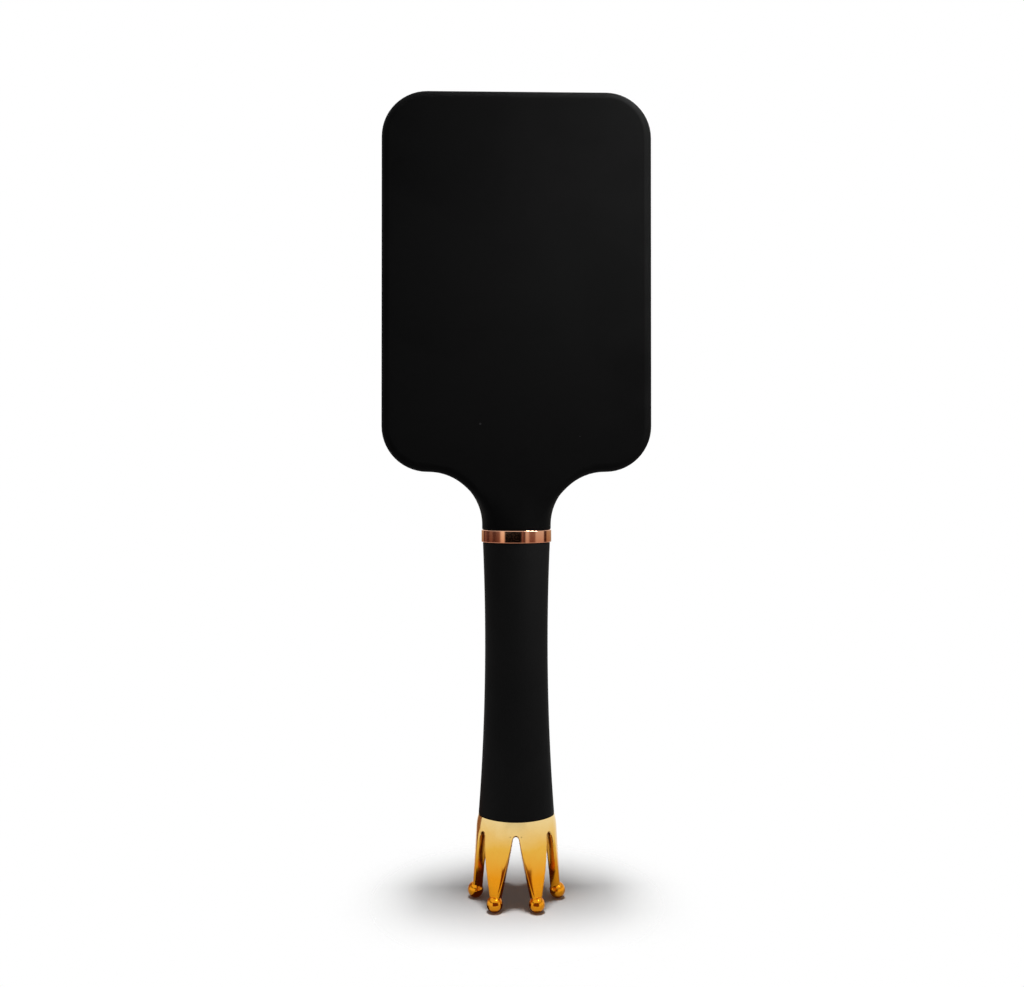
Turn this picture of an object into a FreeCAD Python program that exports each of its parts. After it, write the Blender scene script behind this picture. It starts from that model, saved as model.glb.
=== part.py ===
import FreeCAD, Part
import math
import os

import Sketcher

# A paddle hair brush that stands on the crown at the end of its handle, in millimetres.
# The origin is on the floor at the handle's axis and Z is up.
# The plain back of the paddle faces -Y, and the pins face +Y.

DRIVING_SIZES = (
    # the paddle and its neck
    ("paddle_width", "83"),
    ("paddle_height", "117"),
    ("paddle_corner_radius", "14.1"),
    ("back_depth", "7"),
    ("front_depth", "6"),
    ("back_edge_radius", "2.8"),
    ("front_edge_chamfer", "1.2"),
    ("neck_length", "17.9"),
    ("neck_width", "21.4"),
    ("neck_blend_radius", "15.6"),
    ("neck_flare", "4"),
    ("neck_draw_in", "2.8"),
    ("oval_depth_share", "0.75"),
    ("oval_side_share", "0.7"),
    # the hollow behind the cushion
    ("recess_width", "71"),
    ("recess_height", "103"),
    ("recess_corner_radius", "11"),
    ("recess_depth", "5"),
    ("ledge_width", "5"),
    ("back_wall", "2.6"),
    # the cushion, its flange and the frame that clamps it
    ("frame_clearance", "0.3"),
    ("frame_bar_width", "4"),
    ("flange_thickness", "1.4"),
    ("cushion_gap", "0.3"),
    ("cushion_rise", "4.5"),
    ("cushion_draw_in_angle", "12"),
    ("membrane", "1.6"),
    ("cross_crown_radius", "190"),
    ("long_crown_radius", "450"),
    ("vent_diameter", "2"),
    # the pins
    ("pin_rows", "14"),
    ("pins_in_long_row", "5"),
    ("pin_side_margin", "6.9"),
    ("pin_end_margin", "4.65"),
    ("pin_length", "14.5"),
    ("pin_root_radius", "0.75"),
    ("pin_neck_radius", "0.6"),
    ("pin_ball_radius", "0.95"),
    ("pin_cap_radius", "0.5"),
    ("pin_head_radius", "1.5"),
    ("pin_head_thickness", "0.9"),
    ("pin_head_gap", "0.35"),
    ("pin_clearance", "0.1"),
    # the ring, the tang and the grip
    ("ring_height", "3.8"),
    ("ring_overhang", "0.15"),
    ("ring_wall", "2.4"),
    ("ring_clearance", "0.1"),
    ("grip_length", "84.3"),
    ("grip_top_width", "20.9"),
    ("grip_waist_width", "19.5"),
    ("grip_base_width", "23.5"),
    ("grip_waist_height", "50.9"),
    ("bore_diameter", "10.4"),
    ("tang_length", "46"),
    ("tang_width", "9.6"),
    ("tang_rib", "2.2"),
    # the crown
    ("crown_height", "26.1"),
    ("crown_foot_diameter", "27.2"),
    ("crown_cone_diameter", "24.4"),
    ("crown_flare", "7.1"),
    ("crown_wall", "1.8"),
    ("crown_disc", "3.5"),
    ("crown_prongs", "6"),
    ("notch_height", "22"),
    ("notch_foot_width", "11"),
    ("notch_apex_radius", "1"),
    ("ball_radius", "2.43"),
    ("plug_length", "14"),
    ("plug_clearance", "0.1"),
)

# How far up the neck its oval is trimmed, and how square the trimmed strip's end is.
NECK_TRIM_SHARE = 0.45
STRIP_CORNER_SHARE = 0.6
# How deep the swept grip and its core reach into each other, as shares of the oval's end radius.
GRIP_SKIN_SHARE = 0.9
GRIP_CORE_SHARE = 0.5
# How much of the room that it has a blend or a buried end takes at most.
ROOM_SHARE = 0.95
PIN_SIDES = 6
BALL_SIDES = 10
BALL_BANDS = 5
BALL_CAP_SHARE = 0.3
QUARTER_TURN = 90
FULL_TURN = 360
MATCH = 1e-4

doc = FreeCAD.newDocument("paddle_brush")
sheet = doc.addObject("Spreadsheet::Sheet", "sizes")


class Size:
    """A size as its present number and as the expression that the document keeps."""

    def __init__(self, number, text):
        self.number = number
        self.text = text

    def joined(self, sign, other, number):
        other_text = other.text if isinstance(other, Size) else str(other)
        return Size(number, f"({self.text} {sign} {other_text})")

    def __add__(self, other):
        return self.joined("+", other, self.number + plain(other))

    def __sub__(self, other):
        return self.joined("-", other, self.number - plain(other))

    def __mul__(self, other):
        return self.joined("*", other, self.number * plain(other))

    def __truediv__(self, other):
        return self.joined("/", other, self.number / plain(other))

    def __neg__(self):
        return Size(-self.number, f"(-{self.text})")


class Sizes:
    """The driving sizes by name."""


def plain(value):
    """The number of a size, or a plain number as it is."""
    return value.number if isinstance(value, Size) else value


def smaller(first, second):
    """The smaller of two sizes."""
    return Size(min(first.number, second.number), f"min({first.text}; {second.text})")


def read_sizes():
    """Fills the sheet and gives its cells back as sizes."""
    for row, (alias, text) in enumerate(DRIVING_SIZES, 1):
        sheet.set(f"A{row}", alias)
        sheet.set(f"B{row}", text)
        sheet.setAlias(f"B{row}", alias)
    doc.recompute()
    sizes = Sizes()
    for alias, _ in DRIVING_SIZES:
        setattr(sizes, alias, Size(float(sheet.get(alias)), f"sizes.{alias}"))
    return sizes


def bind(thing, **properties):
    """Binds properties of an object to sizes."""
    for name, length in properties.items():
        thing.setExpression(name, length.text)


def place(thing, **coordinates):
    """Binds an object's position to sizes."""
    for axis, length in coordinates.items():
        thing.setExpression(f"Placement.Base.{axis}", length.text)


def origin_part(body, role):
    """One of a body's own planes or axes."""
    return [feature for feature in body.Origin.OriginFeatures if feature.Role == role][0]


def new_body(name, base=None):
    """A body, begun from another object's shape where one is given."""
    body = doc.addObject("PartDesign::Body", name)
    if base:
        body.BaseFeature = base
    return body


def new_sketch(body, name, role, offset=None):
    """A sketch on a body's own plane, moved along that plane's normal."""
    sketch = body.newObject("Sketcher::SketchObject", name)
    sketch.AttachmentSupport = (origin_part(body, role), [""])
    sketch.MapMode = "FlatFace"
    if offset:
        sketch.setExpression("AttachmentOffset.Base.z", offset.text)
    return sketch


def hold(sketch, name, kind, *parts):
    """Adds a dimension to a sketch and binds it to a size, the last of the parts."""
    length = parts[-1]
    index = sketch.addConstraint(Sketcher.Constraint(kind, *parts[:-1], length.number))
    sketch.renameConstraint(index, name)
    sketch.setExpression(f"Constraints.{name}", length.text)


def rounded_rectangle(sketch, width, height, base, radius):
    """A rectangle with round corners, centred on the sketch's upright axis."""
    half = width.number / 2
    corner = radius.number
    low = base.number
    high = low + height.number
    first = sketch.GeometryCount
    lines = (
        ((corner - half, low), (half - corner, low)),
        ((half, low + corner), (half, high - corner)),
        ((half - corner, high), (corner - half, high)),
        ((-half, high - corner), (-half, low + corner)),
    )
    for start, end in lines:
        sketch.addGeometry(Part.LineSegment(FreeCAD.Vector(*start), FreeCAD.Vector(*end)))
    centres = (
        (half - corner, low + corner),
        (half - corner, high - corner),
        (corner - half, high - corner),
        (corner - half, low + corner),
    )
    for turn, centre in enumerate(centres, -1):
        circle = Part.Circle(FreeCAD.Vector(*centre), FreeCAD.Vector(0, 0, 1), corner)
        sketch.addGeometry(Part.ArcOfCircle(circle, turn * math.pi / 2, (turn + 1) * math.pi / 2))
    bottom, right, top, left = range(first, first + len(lines))
    for side in range(len(lines)):
        line = first + side
        arc = line + len(lines)
        following = first + (side + 1) % len(lines)
        sketch.addConstraint(Sketcher.Constraint("Tangent", line, 2, arc, 1))
        sketch.addConstraint(Sketcher.Constraint("Tangent", arc, 2, following, 1))
        if side:
            sketch.addConstraint(Sketcher.Constraint("Equal", first + len(lines), arc))
    sketch.addConstraint(Sketcher.Constraint("Horizontal", top))
    for line in (right, left):
        sketch.addConstraint(Sketcher.Constraint("Vertical", line))
    sketch.addConstraint(Sketcher.Constraint("Symmetric", bottom, 1, bottom, 2, -2))
    tag = f"{sketch.Name}_{first}"
    hold(sketch, f"{tag}_width", "DistanceX", left, 1, right, 1, width)
    hold(sketch, f"{tag}_height", "DistanceY", bottom, 1, top, 1, height)
    hold(sketch, f"{tag}_base", "DistanceY", -1, 1, bottom, 1, base)
    hold(sketch, f"{tag}_radius", "Radius", first + len(lines), radius)


def pad(body, sketch, length, reverse=False, taper=None):
    """Pads a sketch along its normal or against it, with its sides drawn in by an angle."""
    feature = body.newObject("PartDesign::Pad", f"{sketch.Name}_pad")
    feature.Profile = sketch
    feature.Reversed = reverse
    bind(feature, Length=length)
    if taper:
        bind(feature, TaperAngle=-taper)
    doc.recompute()
    return feature


def pocket(body, sketch, length, reverse=False):
    """Cuts a sketch into a body and checks that it removed something."""
    before = body.Shape.Volume
    feature = body.newObject("PartDesign::Pocket", f"{sketch.Name}_pocket")
    feature.Profile = sketch
    feature.Reversed = reverse
    bind(feature, Length=length)
    doc.recompute()
    if body.Shape.Volume > before - MATCH:
        raise RuntimeError(f"{sketch.Name} cuts nothing")
    return feature


def dress_edges(body, kind, name, chosen, **sizes):
    """Fillets or chamfers the edges of a body's last shape that a test chooses."""
    base = body.Tip
    edges = [f"Edge{number}" for number, edge in enumerate(base.Shape.Edges, 1) if chosen(edge)]
    feature = body.newObject(f"PartDesign::{kind}", name)
    feature.Base = (base, edges)
    bind(feature, **sizes)
    doc.recompute()
    return feature


def repeat_round_axis(body, name, feature, count):
    """Repeats a feature evenly round the upright axis."""
    pattern = body.newObject("PartDesign::PolarPattern", name)
    pattern.Originals = [feature]
    pattern.Axis = (origin_part(body, "Z_Axis"), [""])
    pattern.Angle = FULL_TURN
    bind(pattern, Occurrences=count)
    body.Tip = pattern
    doc.recompute()
    return pattern


def shaped(name, shape):
    """An object that holds a shape worked out here from the sheet's sizes."""
    feature = doc.addObject("Part::Feature", name)
    feature.Shape = shape
    return feature


def joined(kind, name, base, tool):
    """One solid less another, or what two solids share."""
    result = doc.addObject(f"Part::{kind}", name)
    result.Base = base
    result.Tool = tool
    return result


def fuse(name, shapes):
    """Several solids as one."""
    result = doc.addObject("Part::MultiFuse", name)
    result.Shapes = shapes
    result.Refine = True
    return result


def loft(name, sections):
    """A closed solid with straight sides between sections."""
    solid = doc.addObject("Part::Loft", name)
    solid.Sections = sections
    solid.Solid = True
    solid.Ruled = True
    return solid


def extrude(name, section, length):
    """An upright prism on a section."""
    solid = doc.addObject("Part::Extrusion", name)
    solid.Base = section
    solid.DirMode = "Custom"
    solid.Dir = FreeCAD.Vector(0, 0, 1)
    solid.Solid = True
    bind(solid, LengthFwd=length)
    return solid


def block(name, width, depth, height, base):
    """An upright box centred on the axis."""
    box = doc.addObject("Part::Box", name)
    bind(box, Length=width, Width=depth, Height=height)
    place(box, x=-(width / 2), y=-(depth / 2), z=base)
    return box


def cone(name, foot_radius, top_radius, height, base):
    """An upright cone on the axis."""
    solid = doc.addObject("Part::Cone", name)
    bind(solid, Radius1=foot_radius, Radius2=top_radius, Height=height)
    place(solid, z=base)
    return solid


def faceted(sides, stations):
    """An upright solid with flat facets through regular polygons, each a radius and a height."""
    turns = [math.tau * side / sides for side in range(sides)]
    spokes = [FreeCAD.Vector(math.cos(turn), math.sin(turn), 0) for turn in turns]
    rings = []
    for radius, height in stations:
        rings.append([spoke * radius + FreeCAD.Vector(0, 0, height) for spoke in spokes])
    loops = [rings[0], rings[-1]]
    for low, high in zip(rings, rings[1:]):
        for side in range(sides):
            after = (side + 1) % sides
            loops.append([low[side], low[after], high[after], high[side]])
    faces = [Part.Face(Part.makePolygon(loop + loop[:1])) for loop in loops]
    solid = Part.Solid(Part.Shell(faces))
    if solid.Volume < 0:
        solid.reverse()
    return solid


def lies_at(edge, axis, number):
    """Whether an edge lies wholly at one coordinate."""
    box = edge.BoundBox
    low = getattr(box, f"{axis}Min")
    high = getattr(box, f"{axis}Max")
    return abs(low - number) < MATCH and abs(high - number) < MATCH


size = read_sizes()
NOTHING = Size(0, "0")

# heights along the handle
grip_base = size.crown_height
grip_top = grip_base + size.grip_length
ring_top = grip_top + size.ring_height
paddle_base = ring_top + size.neck_length
paddle_middle = paddle_base + size.paddle_height / 2
# depths through the head, from the pins' side to the back
recess_floor = size.front_depth - size.recess_depth
flange_top = recess_floor + size.flange_thickness
cavity_depth = recess_floor + size.back_depth - size.back_wall
cushion_top = size.front_depth + size.cushion_rise
# outlines inside the recess
recess_base = paddle_middle - size.recess_height / 2
frame_width = size.recess_width - size.frame_clearance * 2
frame_height = size.recess_height - size.frame_clearance * 2
frame_corner = size.recess_corner_radius - size.frame_clearance
opening_width = frame_width - size.frame_bar_width * 2
opening_height = frame_height - size.frame_bar_width * 2
opening_corner = frame_corner - size.frame_bar_width
dome_width = opening_width - size.cushion_gap * 2
dome_height = opening_height - size.cushion_gap * 2
dome_corner = opening_corner - size.cushion_gap
cavity_width = size.recess_width - size.ledge_width * 2
cavity_height = size.recess_height - size.ledge_width * 2
cavity_corner = size.recess_corner_radius - size.ledge_width
# the neck's oval section, which the whole handle grows from
neck_half = size.neck_width / 2
neck_half_depth = neck_half * size.oval_depth_share
end_radius = neck_half_depth * size.oval_side_share
# the flat strip under the neck starts below it, and its spare end is trimmed off
strip_base = ring_top - neck_half
trim_top = ring_top + size.neck_length * NECK_TRIM_SHARE


def oval(name, grow, height):
    """A handle's section at a height: four tangent arcs, grown evenly from the neck's own oval."""
    end = end_radius.number
    across = neck_half.number - end
    spare = neck_half_depth.number - end
    behind = (across ** 2 - spare ** 2) / spare / 2
    turn = math.atan2(behind, across)
    broad = end + math.hypot(across, behind)
    joints = (-turn, turn, math.pi - turn, math.pi + turn, math.tau - turn)
    centres = ((across, 0, end), (0, -behind, broad), (-across, 0, end), (0, behind, broad))
    arcs = []
    for (x, y, radius), start, stop in zip(centres, joints, joints[1:]):
        circle = Part.Circle(FreeCAD.Vector(x, y, 0), FreeCAD.Vector(0, 0, 1), radius + grow.number)
        arcs.append(Part.ArcOfCircle(circle, start, stop).toShape())
    section = shaped(name, Part.Wire(arcs))
    place(section, z=height)
    return section


def outline_sketch(body, name, depth, width, height, corner):
    """A rounded rectangle centred on the paddle, at a depth towards the pins."""
    sketch = new_sketch(body, name, "XZ_Plane", -depth)
    rounded_rectangle(sketch, width, height, paddle_middle - height / 2, corner)
    return sketch


def make_head_plate():
    """The moulded paddle with its neck strip, its soft edges and the hollow for the cushion."""
    body = new_body("head_plate")
    thickness = size.front_depth + size.back_depth
    outline = outline_sketch(body, "paddle_outline", size.front_depth,
                             size.paddle_width, size.paddle_height, size.paddle_corner_radius)
    pad(body, outline, thickness)
    strip = new_sketch(body, "neck_strip", "XZ_Plane", -size.front_depth)
    rounded_rectangle(strip, size.neck_width, paddle_middle - strip_base, strip_base,
                      neck_half * STRIP_CORNER_SHARE)
    pad(body, strip, thickness)
    side_room = size.paddle_width / 2 - size.paddle_corner_radius - neck_half
    blend = smaller(size.neck_blend_radius, smaller(side_room, size.neck_length) * ROOM_SHARE)

    def inner_corner(edge):
        box = edge.BoundBox
        through = box.XLength < MATCH and box.ZLength < MATCH
        at_base = abs(box.ZMin - paddle_base.number) < MATCH
        at_side = abs(abs(box.XMin) - neck_half.number) < MATCH
        return through and at_base and at_side

    dress_edges(body, "Fillet", "neck_blend", inner_corner, Radius=blend)
    dress_edges(body, "Fillet", "back_round",
                lambda edge: lies_at(edge, "Y", -size.back_depth.number), Radius=size.back_edge_radius)
    dress_edges(body, "Chamfer", "front_break",
                lambda edge: lies_at(edge, "Y", size.front_depth.number), Size=size.front_edge_chamfer)
    recess = outline_sketch(body, "recess", size.front_depth, size.recess_width,
                            size.recess_height, size.recess_corner_radius)
    pocket(body, recess, size.recess_depth, reverse=True)
    cavity = outline_sketch(body, "cavity", recess_floor, cavity_width, cavity_height, cavity_corner)
    pocket(body, cavity, cavity_depth, reverse=True)
    return body


def make_head_shell():
    """The head in one moulding: the paddle, its oval neck, the spigot for the ring and the tang."""
    sleeve = loft("neck_sleeve", [
        oval("sleeve_base", NOTHING, ring_top),
        oval("sleeve_top", size.neck_flare, trim_top),
    ])
    around = block("neck_surround", size.paddle_width, size.paddle_width, trim_top - strip_base, strip_base)
    trimmed = joined("Cut", "trimmed_plate", make_head_plate(), joined("Cut", "neck_trim", around, sleeve))
    core = loft("neck_core", [
        oval("core_base", NOTHING, ring_top),
        oval("core_end", -size.neck_draw_in, paddle_base + (recess_base - paddle_base) * ROOM_SHARE),
    ])
    spigot = extrude("spigot", oval("spigot_base", -(size.ring_wall + size.ring_clearance), grip_top),
                     trim_top - grip_top)
    tang_base = grip_top - size.tang_length
    tang_height = size.tang_length + size.ring_height
    wide_rib = block("wide_rib", size.tang_width, size.tang_rib, tang_height, tang_base)
    deep_rib = block("deep_rib", size.tang_rib, size.tang_width, tang_height, tang_base)
    return fuse("head_shell", [trimmed, core, spigot, wide_rib, deep_rib])


def make_cushion_frame():
    """The frame that clamps the cushion's flange in the recess."""
    body = new_body("cushion_frame")
    depth = size.front_depth - flange_top
    outer = outline_sketch(body, "frame_outline", size.front_depth, frame_width, frame_height, frame_corner)
    pad(body, outer, depth)
    opening = outline_sketch(body, "frame_opening", size.front_depth,
                             opening_width, opening_height, opening_corner)
    pocket(body, opening, depth, reverse=True)
    return body


def crown_depth(across, along):
    """How far towards the pins the cushion's crowned top lies, at a place on it."""
    cross = size.cross_crown_radius.number
    long = size.long_crown_radius.number
    swing = long - cross + math.sqrt(cross ** 2 - across ** 2)
    return cushion_top.number - long + math.sqrt(swing ** 2 - along ** 2)


def pin_places():
    """Each row's pin places: across from the axis, and along from the paddle's middle."""
    rows = int(size.pin_rows.number)
    longest = int(size.pins_in_long_row.number)
    row_pitch = (dome_height - size.pin_end_margin * 2).number / (rows - 1)
    pin_pitch = (dome_width - size.pin_side_margin * 2).number / (longest - 1)
    places = []
    for row in range(rows):
        count = longest - row % 2
        along = (row - (rows - 1) / 2) * row_pitch
        across = [(pin - (count - 1) / 2) * pin_pitch for pin in range(count)]
        places.append([(x, along) for x in across])
    return places


def laid_along_pins(shape, across, depth, along):
    """A copy of an upright shape, laid along the pins at a place on the cushion."""
    spot = FreeCAD.Vector(across, depth, paddle_middle.number + along)
    laid = shape.copy()
    laid.Placement = FreeCAD.Placement(spot, FreeCAD.Rotation(FreeCAD.Vector(1, 0, 0), -QUARTER_TURN))
    return laid


def make_dome(name, inset):
    """A block of the cushion's outline, drawn in by an inset and crowned by a torus on its side."""
    body = new_body(f"{name}_block")
    outline = outline_sketch(body, f"{name}_outline", recess_floor, dome_width - inset * 2,
                             dome_height - inset * 2, dome_corner - inset)
    pad(body, outline, cushion_top - recess_floor, reverse=True, taper=size.cushion_draw_in_angle)
    torus = doc.addObject("Part::Torus", f"{name}_torus")
    torus.Placement.Rotation = FreeCAD.Rotation(FreeCAD.Vector(0, 1, 0), QUARTER_TURN)
    bind(torus, Radius1=size.long_crown_radius - size.cross_crown_radius,
         Radius2=size.cross_crown_radius - inset)
    place(torus, y=cushion_top - size.long_crown_radius, z=paddle_middle)
    return joined("Common", name, body, torus)


def make_pin_holes():
    """The hexagonal holes for the pins through the cushion's top, and the round vent among them."""
    reach = size.membrane.number * 2
    hole_radius = size.pin_root_radius.number + size.pin_clearance.number
    drill = faceted(PIN_SIDES, ((hole_radius, 0), (hole_radius, reach * 2)))
    vent = Part.makeCylinder(size.vent_diameter.number / 2, reach * 2)
    holes = [laid_along_pins(vent, 0, crown_depth(0, 0) - reach, 0)]
    for row in pin_places():
        for across, along in row:
            holes.append(laid_along_pins(drill, across, crown_depth(across, along) - reach, along))
    return shaped("pin_holes", Part.makeCompound(holes))


def make_cushion():
    """The rubber cushion: a crowned hollow dome on a flange, pierced for the pins."""
    body = new_body("cushion_body", make_dome("cushion_outside", NOTHING))
    doc.recompute()
    flange = outline_sketch(body, "flange", recess_floor, frame_width, frame_height, frame_corner)
    pad(body, flange, size.flange_thickness, reverse=True)
    skin = joined("Cut", "cushion_skin", body, make_dome("cushion_inside", size.membrane))
    return joined("Cut", "cushion", skin, make_pin_holes())


def make_pin_rows():
    """The rows of ball-tipped pins, each pin's cone head under the membrane at its own height."""
    head = size.pin_head_thickness.number
    below = size.membrane.number + size.pin_head_gap.number + head
    ball = below + size.pin_length.number
    tip = size.pin_ball_radius.number
    pin = faceted(PIN_SIDES, (
        (size.pin_head_radius.number, 0),
        (size.pin_root_radius.number, head),
        (size.pin_neck_radius.number, ball - tip),
        (tip, ball),
        (size.pin_cap_radius.number, ball + tip),
    ))
    rows = []
    for number, row in enumerate(pin_places(), 1):
        pins = []
        for across, along in row:
            pins.append(laid_along_pins(pin, across, crown_depth(across, along) - below, along))
        rows.append(shaped(f"pin_row_{number:02d}", Part.makeCompound(pins)))
    return rows


def make_neck_ring():
    """The metal band between the neck and the grip."""
    outline = oval("ring_outline", size.ring_overhang, grip_top)
    hole = oval("ring_hole", -size.ring_wall, grip_top)
    band = extrude("ring_band", outline, size.ring_height)
    return joined("Cut", "neck_ring", band, extrude("ring_opening", hole, size.ring_height))


def make_grip():
    """The waisted oval grip, its side swept round the oval and bored for the tang and the plug."""
    low = grip_base.number
    high = grip_top.number
    foot = FreeCAD.Vector(size.grip_base_width.number / 2, 0, low)
    waist = FreeCAD.Vector(size.grip_waist_width.number / 2, 0, low + size.grip_waist_height.number)
    top = FreeCAD.Vector(size.grip_top_width.number / 2, 0, high)
    inner = neck_half.number - end_radius.number * GRIP_SKIN_SHARE
    corners = [top, FreeCAD.Vector(inner, 0, high), FreeCAD.Vector(inner, 0, low), foot]
    edges = [Part.makeLine(start, end) for start, end in zip(corners, corners[1:])]
    profile = Part.Wire([Part.Arc(foot, waist, top).toShape(), *edges])
    spine = oval("grip_spine", NOTHING, grip_base)
    doc.recompute()
    skin = shaped("grip_skin", spine.Shape.Wires[0].makePipeShell([profile], True, False))
    core_oval = oval("grip_core_oval", -(end_radius * GRIP_CORE_SHARE), grip_base)
    core = extrude("grip_core", core_oval, size.grip_length)
    bore = doc.addObject("Part::Cylinder", "grip_bore")
    bind(bore, Radius=size.bore_diameter / 2, Height=size.grip_length)
    place(bore, z=grip_base)
    return joined("Cut", "handle_grip", fuse("grip_solid", [skin, core]), bore)


def make_notch_sketch(body):
    """The tall round-topped notch between two prongs."""
    sketch = new_sketch(body, "notch", "XZ_Plane")
    radius = size.notch_apex_radius
    low = size.ball_radius.number
    half = size.notch_foot_width.number / 2
    middle = size.notch_height.number - radius.number
    lean = math.atan2(half - radius.number, middle - low)
    side = FreeCAD.Vector(radius.number * math.cos(lean), middle + radius.number * math.sin(lean), 0)
    other_side = FreeCAD.Vector(-side.x, side.y, 0)
    left_foot = FreeCAD.Vector(-half, low, 0)
    right_foot = FreeCAD.Vector(half, low, 0)
    circle = Part.Circle(FreeCAD.Vector(0, middle, 0), FreeCAD.Vector(0, 0, 1), radius.number)
    arc = sketch.addGeometry(Part.ArcOfCircle(circle, lean, math.pi - lean))
    right = sketch.addGeometry(Part.LineSegment(right_foot, side))
    left = sketch.addGeometry(Part.LineSegment(other_side, left_foot))
    foot = sketch.addGeometry(Part.LineSegment(left_foot, right_foot))
    sketch.addConstraint(Sketcher.Constraint("Tangent", right, 2, arc, 1))
    sketch.addConstraint(Sketcher.Constraint("Tangent", arc, 2, left, 1))
    sketch.addConstraint(Sketcher.Constraint("Coincident", left, 2, foot, 1))
    sketch.addConstraint(Sketcher.Constraint("Coincident", foot, 2, right, 1))
    sketch.addConstraint(Sketcher.Constraint("Symmetric", foot, 1, foot, 2, -2))
    sketch.addConstraint(Sketcher.Constraint("PointOnObject", arc, 3, -2))
    hold(sketch, "apex_radius", "Radius", arc, radius)
    hold(sketch, "apex_centre", "DistanceY", -1, 1, arc, 3, size.notch_height - radius)
    hold(sketch, "foot_width", "DistanceX", foot, 1, foot, 2, size.notch_foot_width)
    hold(sketch, "foot_height", "DistanceY", -1, 1, foot, 1, size.ball_radius)
    return sketch


def make_ball_feet(reach):
    """The faceted balls that the crown stands on, at a reach from the axis."""
    radius = size.ball_radius.number
    prongs = int(size.crown_prongs.number)
    stations = []
    for band in range(BALL_BANDS + 1):
        turn = math.pi * band / BALL_BANDS
        stations.append((radius * max(math.sin(turn), BALL_CAP_SHARE), radius - radius * math.cos(turn)))
    ball = faceted(BALL_SIDES, stations)
    balls = []
    for prong in range(prongs):
        turn = math.tau * prong / prongs
        foot = shaped(f"ball_foot_{prong + 1}", ball)
        place(foot, x=reach * math.cos(turn), y=reach * math.sin(turn))
        balls.append(foot)
    return balls


def make_crown():
    """The crown: a flared cup cut into prongs on ball feet, with a plug for the grip's bore."""
    top_grow = (size.grip_base_width - size.neck_width) / 2
    foot_half = size.crown_foot_diameter / 2
    cup_height = size.crown_height - size.ball_radius
    prongs = int(size.crown_prongs.number)
    flare = loft("crown_flare", [
        oval("crown_foot_oval", top_grow + size.crown_flare, size.ball_radius),
        oval("crown_top_oval", top_grow, size.crown_height),
    ])
    foot_cone = cone("crown_cone", foot_half, size.crown_cone_diameter / 2, cup_height, size.ball_radius)
    outside = joined("Common", "crown_outside", flare, foot_cone)
    disc_half = neck_half_depth + top_grow + size.crown_flare * size.crown_disc / cup_height
    inside = shaped("crown_inside", faceted(prongs, (
        ((foot_half - size.crown_wall).number / math.cos(math.pi / prongs), 0),
        ((disc_half - size.crown_wall).number, (cup_height - size.crown_disc).number),
    )))
    inside.Placement.Rotation = FreeCAD.Rotation(FreeCAD.Vector(0, 0, 1), FULL_TURN / prongs / 2)
    place(inside, z=size.ball_radius)
    body = new_body("crown_body", joined("Cut", "crown_cup", outside, inside))
    doc.recompute()
    notch = pocket(body, make_notch_sketch(body), size.crown_foot_diameter, reverse=True)
    repeat_round_axis(body, "notches", notch, size.crown_prongs)
    plug = new_sketch(body, "plug", "XY_Plane", size.crown_height)
    plug_radius = size.bore_diameter / 2 - size.plug_clearance
    circle = Part.Circle(FreeCAD.Vector(0, 0, 0), FreeCAD.Vector(0, 0, 1), plug_radius.number)
    rim = plug.addGeometry(circle)
    plug.addConstraint(Sketcher.Constraint("Coincident", rim, 3, -1, 1))
    hold(plug, "plug_radius", "Radius", rim, plug_radius)
    pad(body, plug, size.plug_length)
    return fuse("crown", [body, *make_ball_feet(foot_half - size.crown_wall / 2)])


def check_document():
    """Stops where an object of the document failed or has no valid shape."""
    for thing in doc.Objects:
        if "Invalid" in thing.State or "Error" in thing.State:
            raise RuntimeError(f"{thing.Name} failed: {thing.State}")
        shape = getattr(thing, "Shape", None)
        if shape is not None and thing.TypeId.startswith(("Part::", "PartDesign::Body")):
            if shape.isNull() or not shape.isValid():
                raise RuntimeError(f"{thing.Name} has no valid shape")


def main():
    parts = [make_head_shell(), make_cushion_frame(), make_cushion(), *make_pin_rows(),
             make_neck_ring(), make_grip(), make_crown()]
    doc.recompute()
    check_document()
    os.makedirs("parts", exist_ok=True)
    for part in parts:
        part.Label = part.Name
        part.Shape.exportStep(f"parts/{part.Label}.step")


main()
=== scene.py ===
"""A paddle hair brush that stands on its crown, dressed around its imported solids."""

import math

import bmesh
import bpy
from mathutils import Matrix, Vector


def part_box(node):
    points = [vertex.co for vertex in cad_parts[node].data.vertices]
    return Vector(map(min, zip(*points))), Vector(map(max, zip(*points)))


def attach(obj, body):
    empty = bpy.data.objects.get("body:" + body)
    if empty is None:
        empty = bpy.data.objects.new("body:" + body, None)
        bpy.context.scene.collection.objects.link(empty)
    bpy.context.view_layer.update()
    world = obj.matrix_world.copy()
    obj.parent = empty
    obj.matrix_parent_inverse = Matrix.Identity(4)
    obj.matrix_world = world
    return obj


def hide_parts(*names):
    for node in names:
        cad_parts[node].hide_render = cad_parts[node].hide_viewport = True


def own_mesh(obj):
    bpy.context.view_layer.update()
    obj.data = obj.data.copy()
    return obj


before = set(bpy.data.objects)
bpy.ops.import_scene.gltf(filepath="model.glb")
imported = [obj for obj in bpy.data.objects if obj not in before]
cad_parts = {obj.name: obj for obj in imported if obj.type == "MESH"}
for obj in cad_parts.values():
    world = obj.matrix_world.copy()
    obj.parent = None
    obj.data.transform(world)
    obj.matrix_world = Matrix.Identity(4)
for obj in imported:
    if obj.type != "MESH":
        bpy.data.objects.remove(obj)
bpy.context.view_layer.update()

bl_info = {
    "name": "Paddle brush",
    "version": (1, 0, 0),
    "blender": (4, 5, 0),
    "location": "View3D > Sidebar > Brush",
    "description": "Models and dresses a paddle hair brush that stands on its crown",
    "category": "Object",
}

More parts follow.
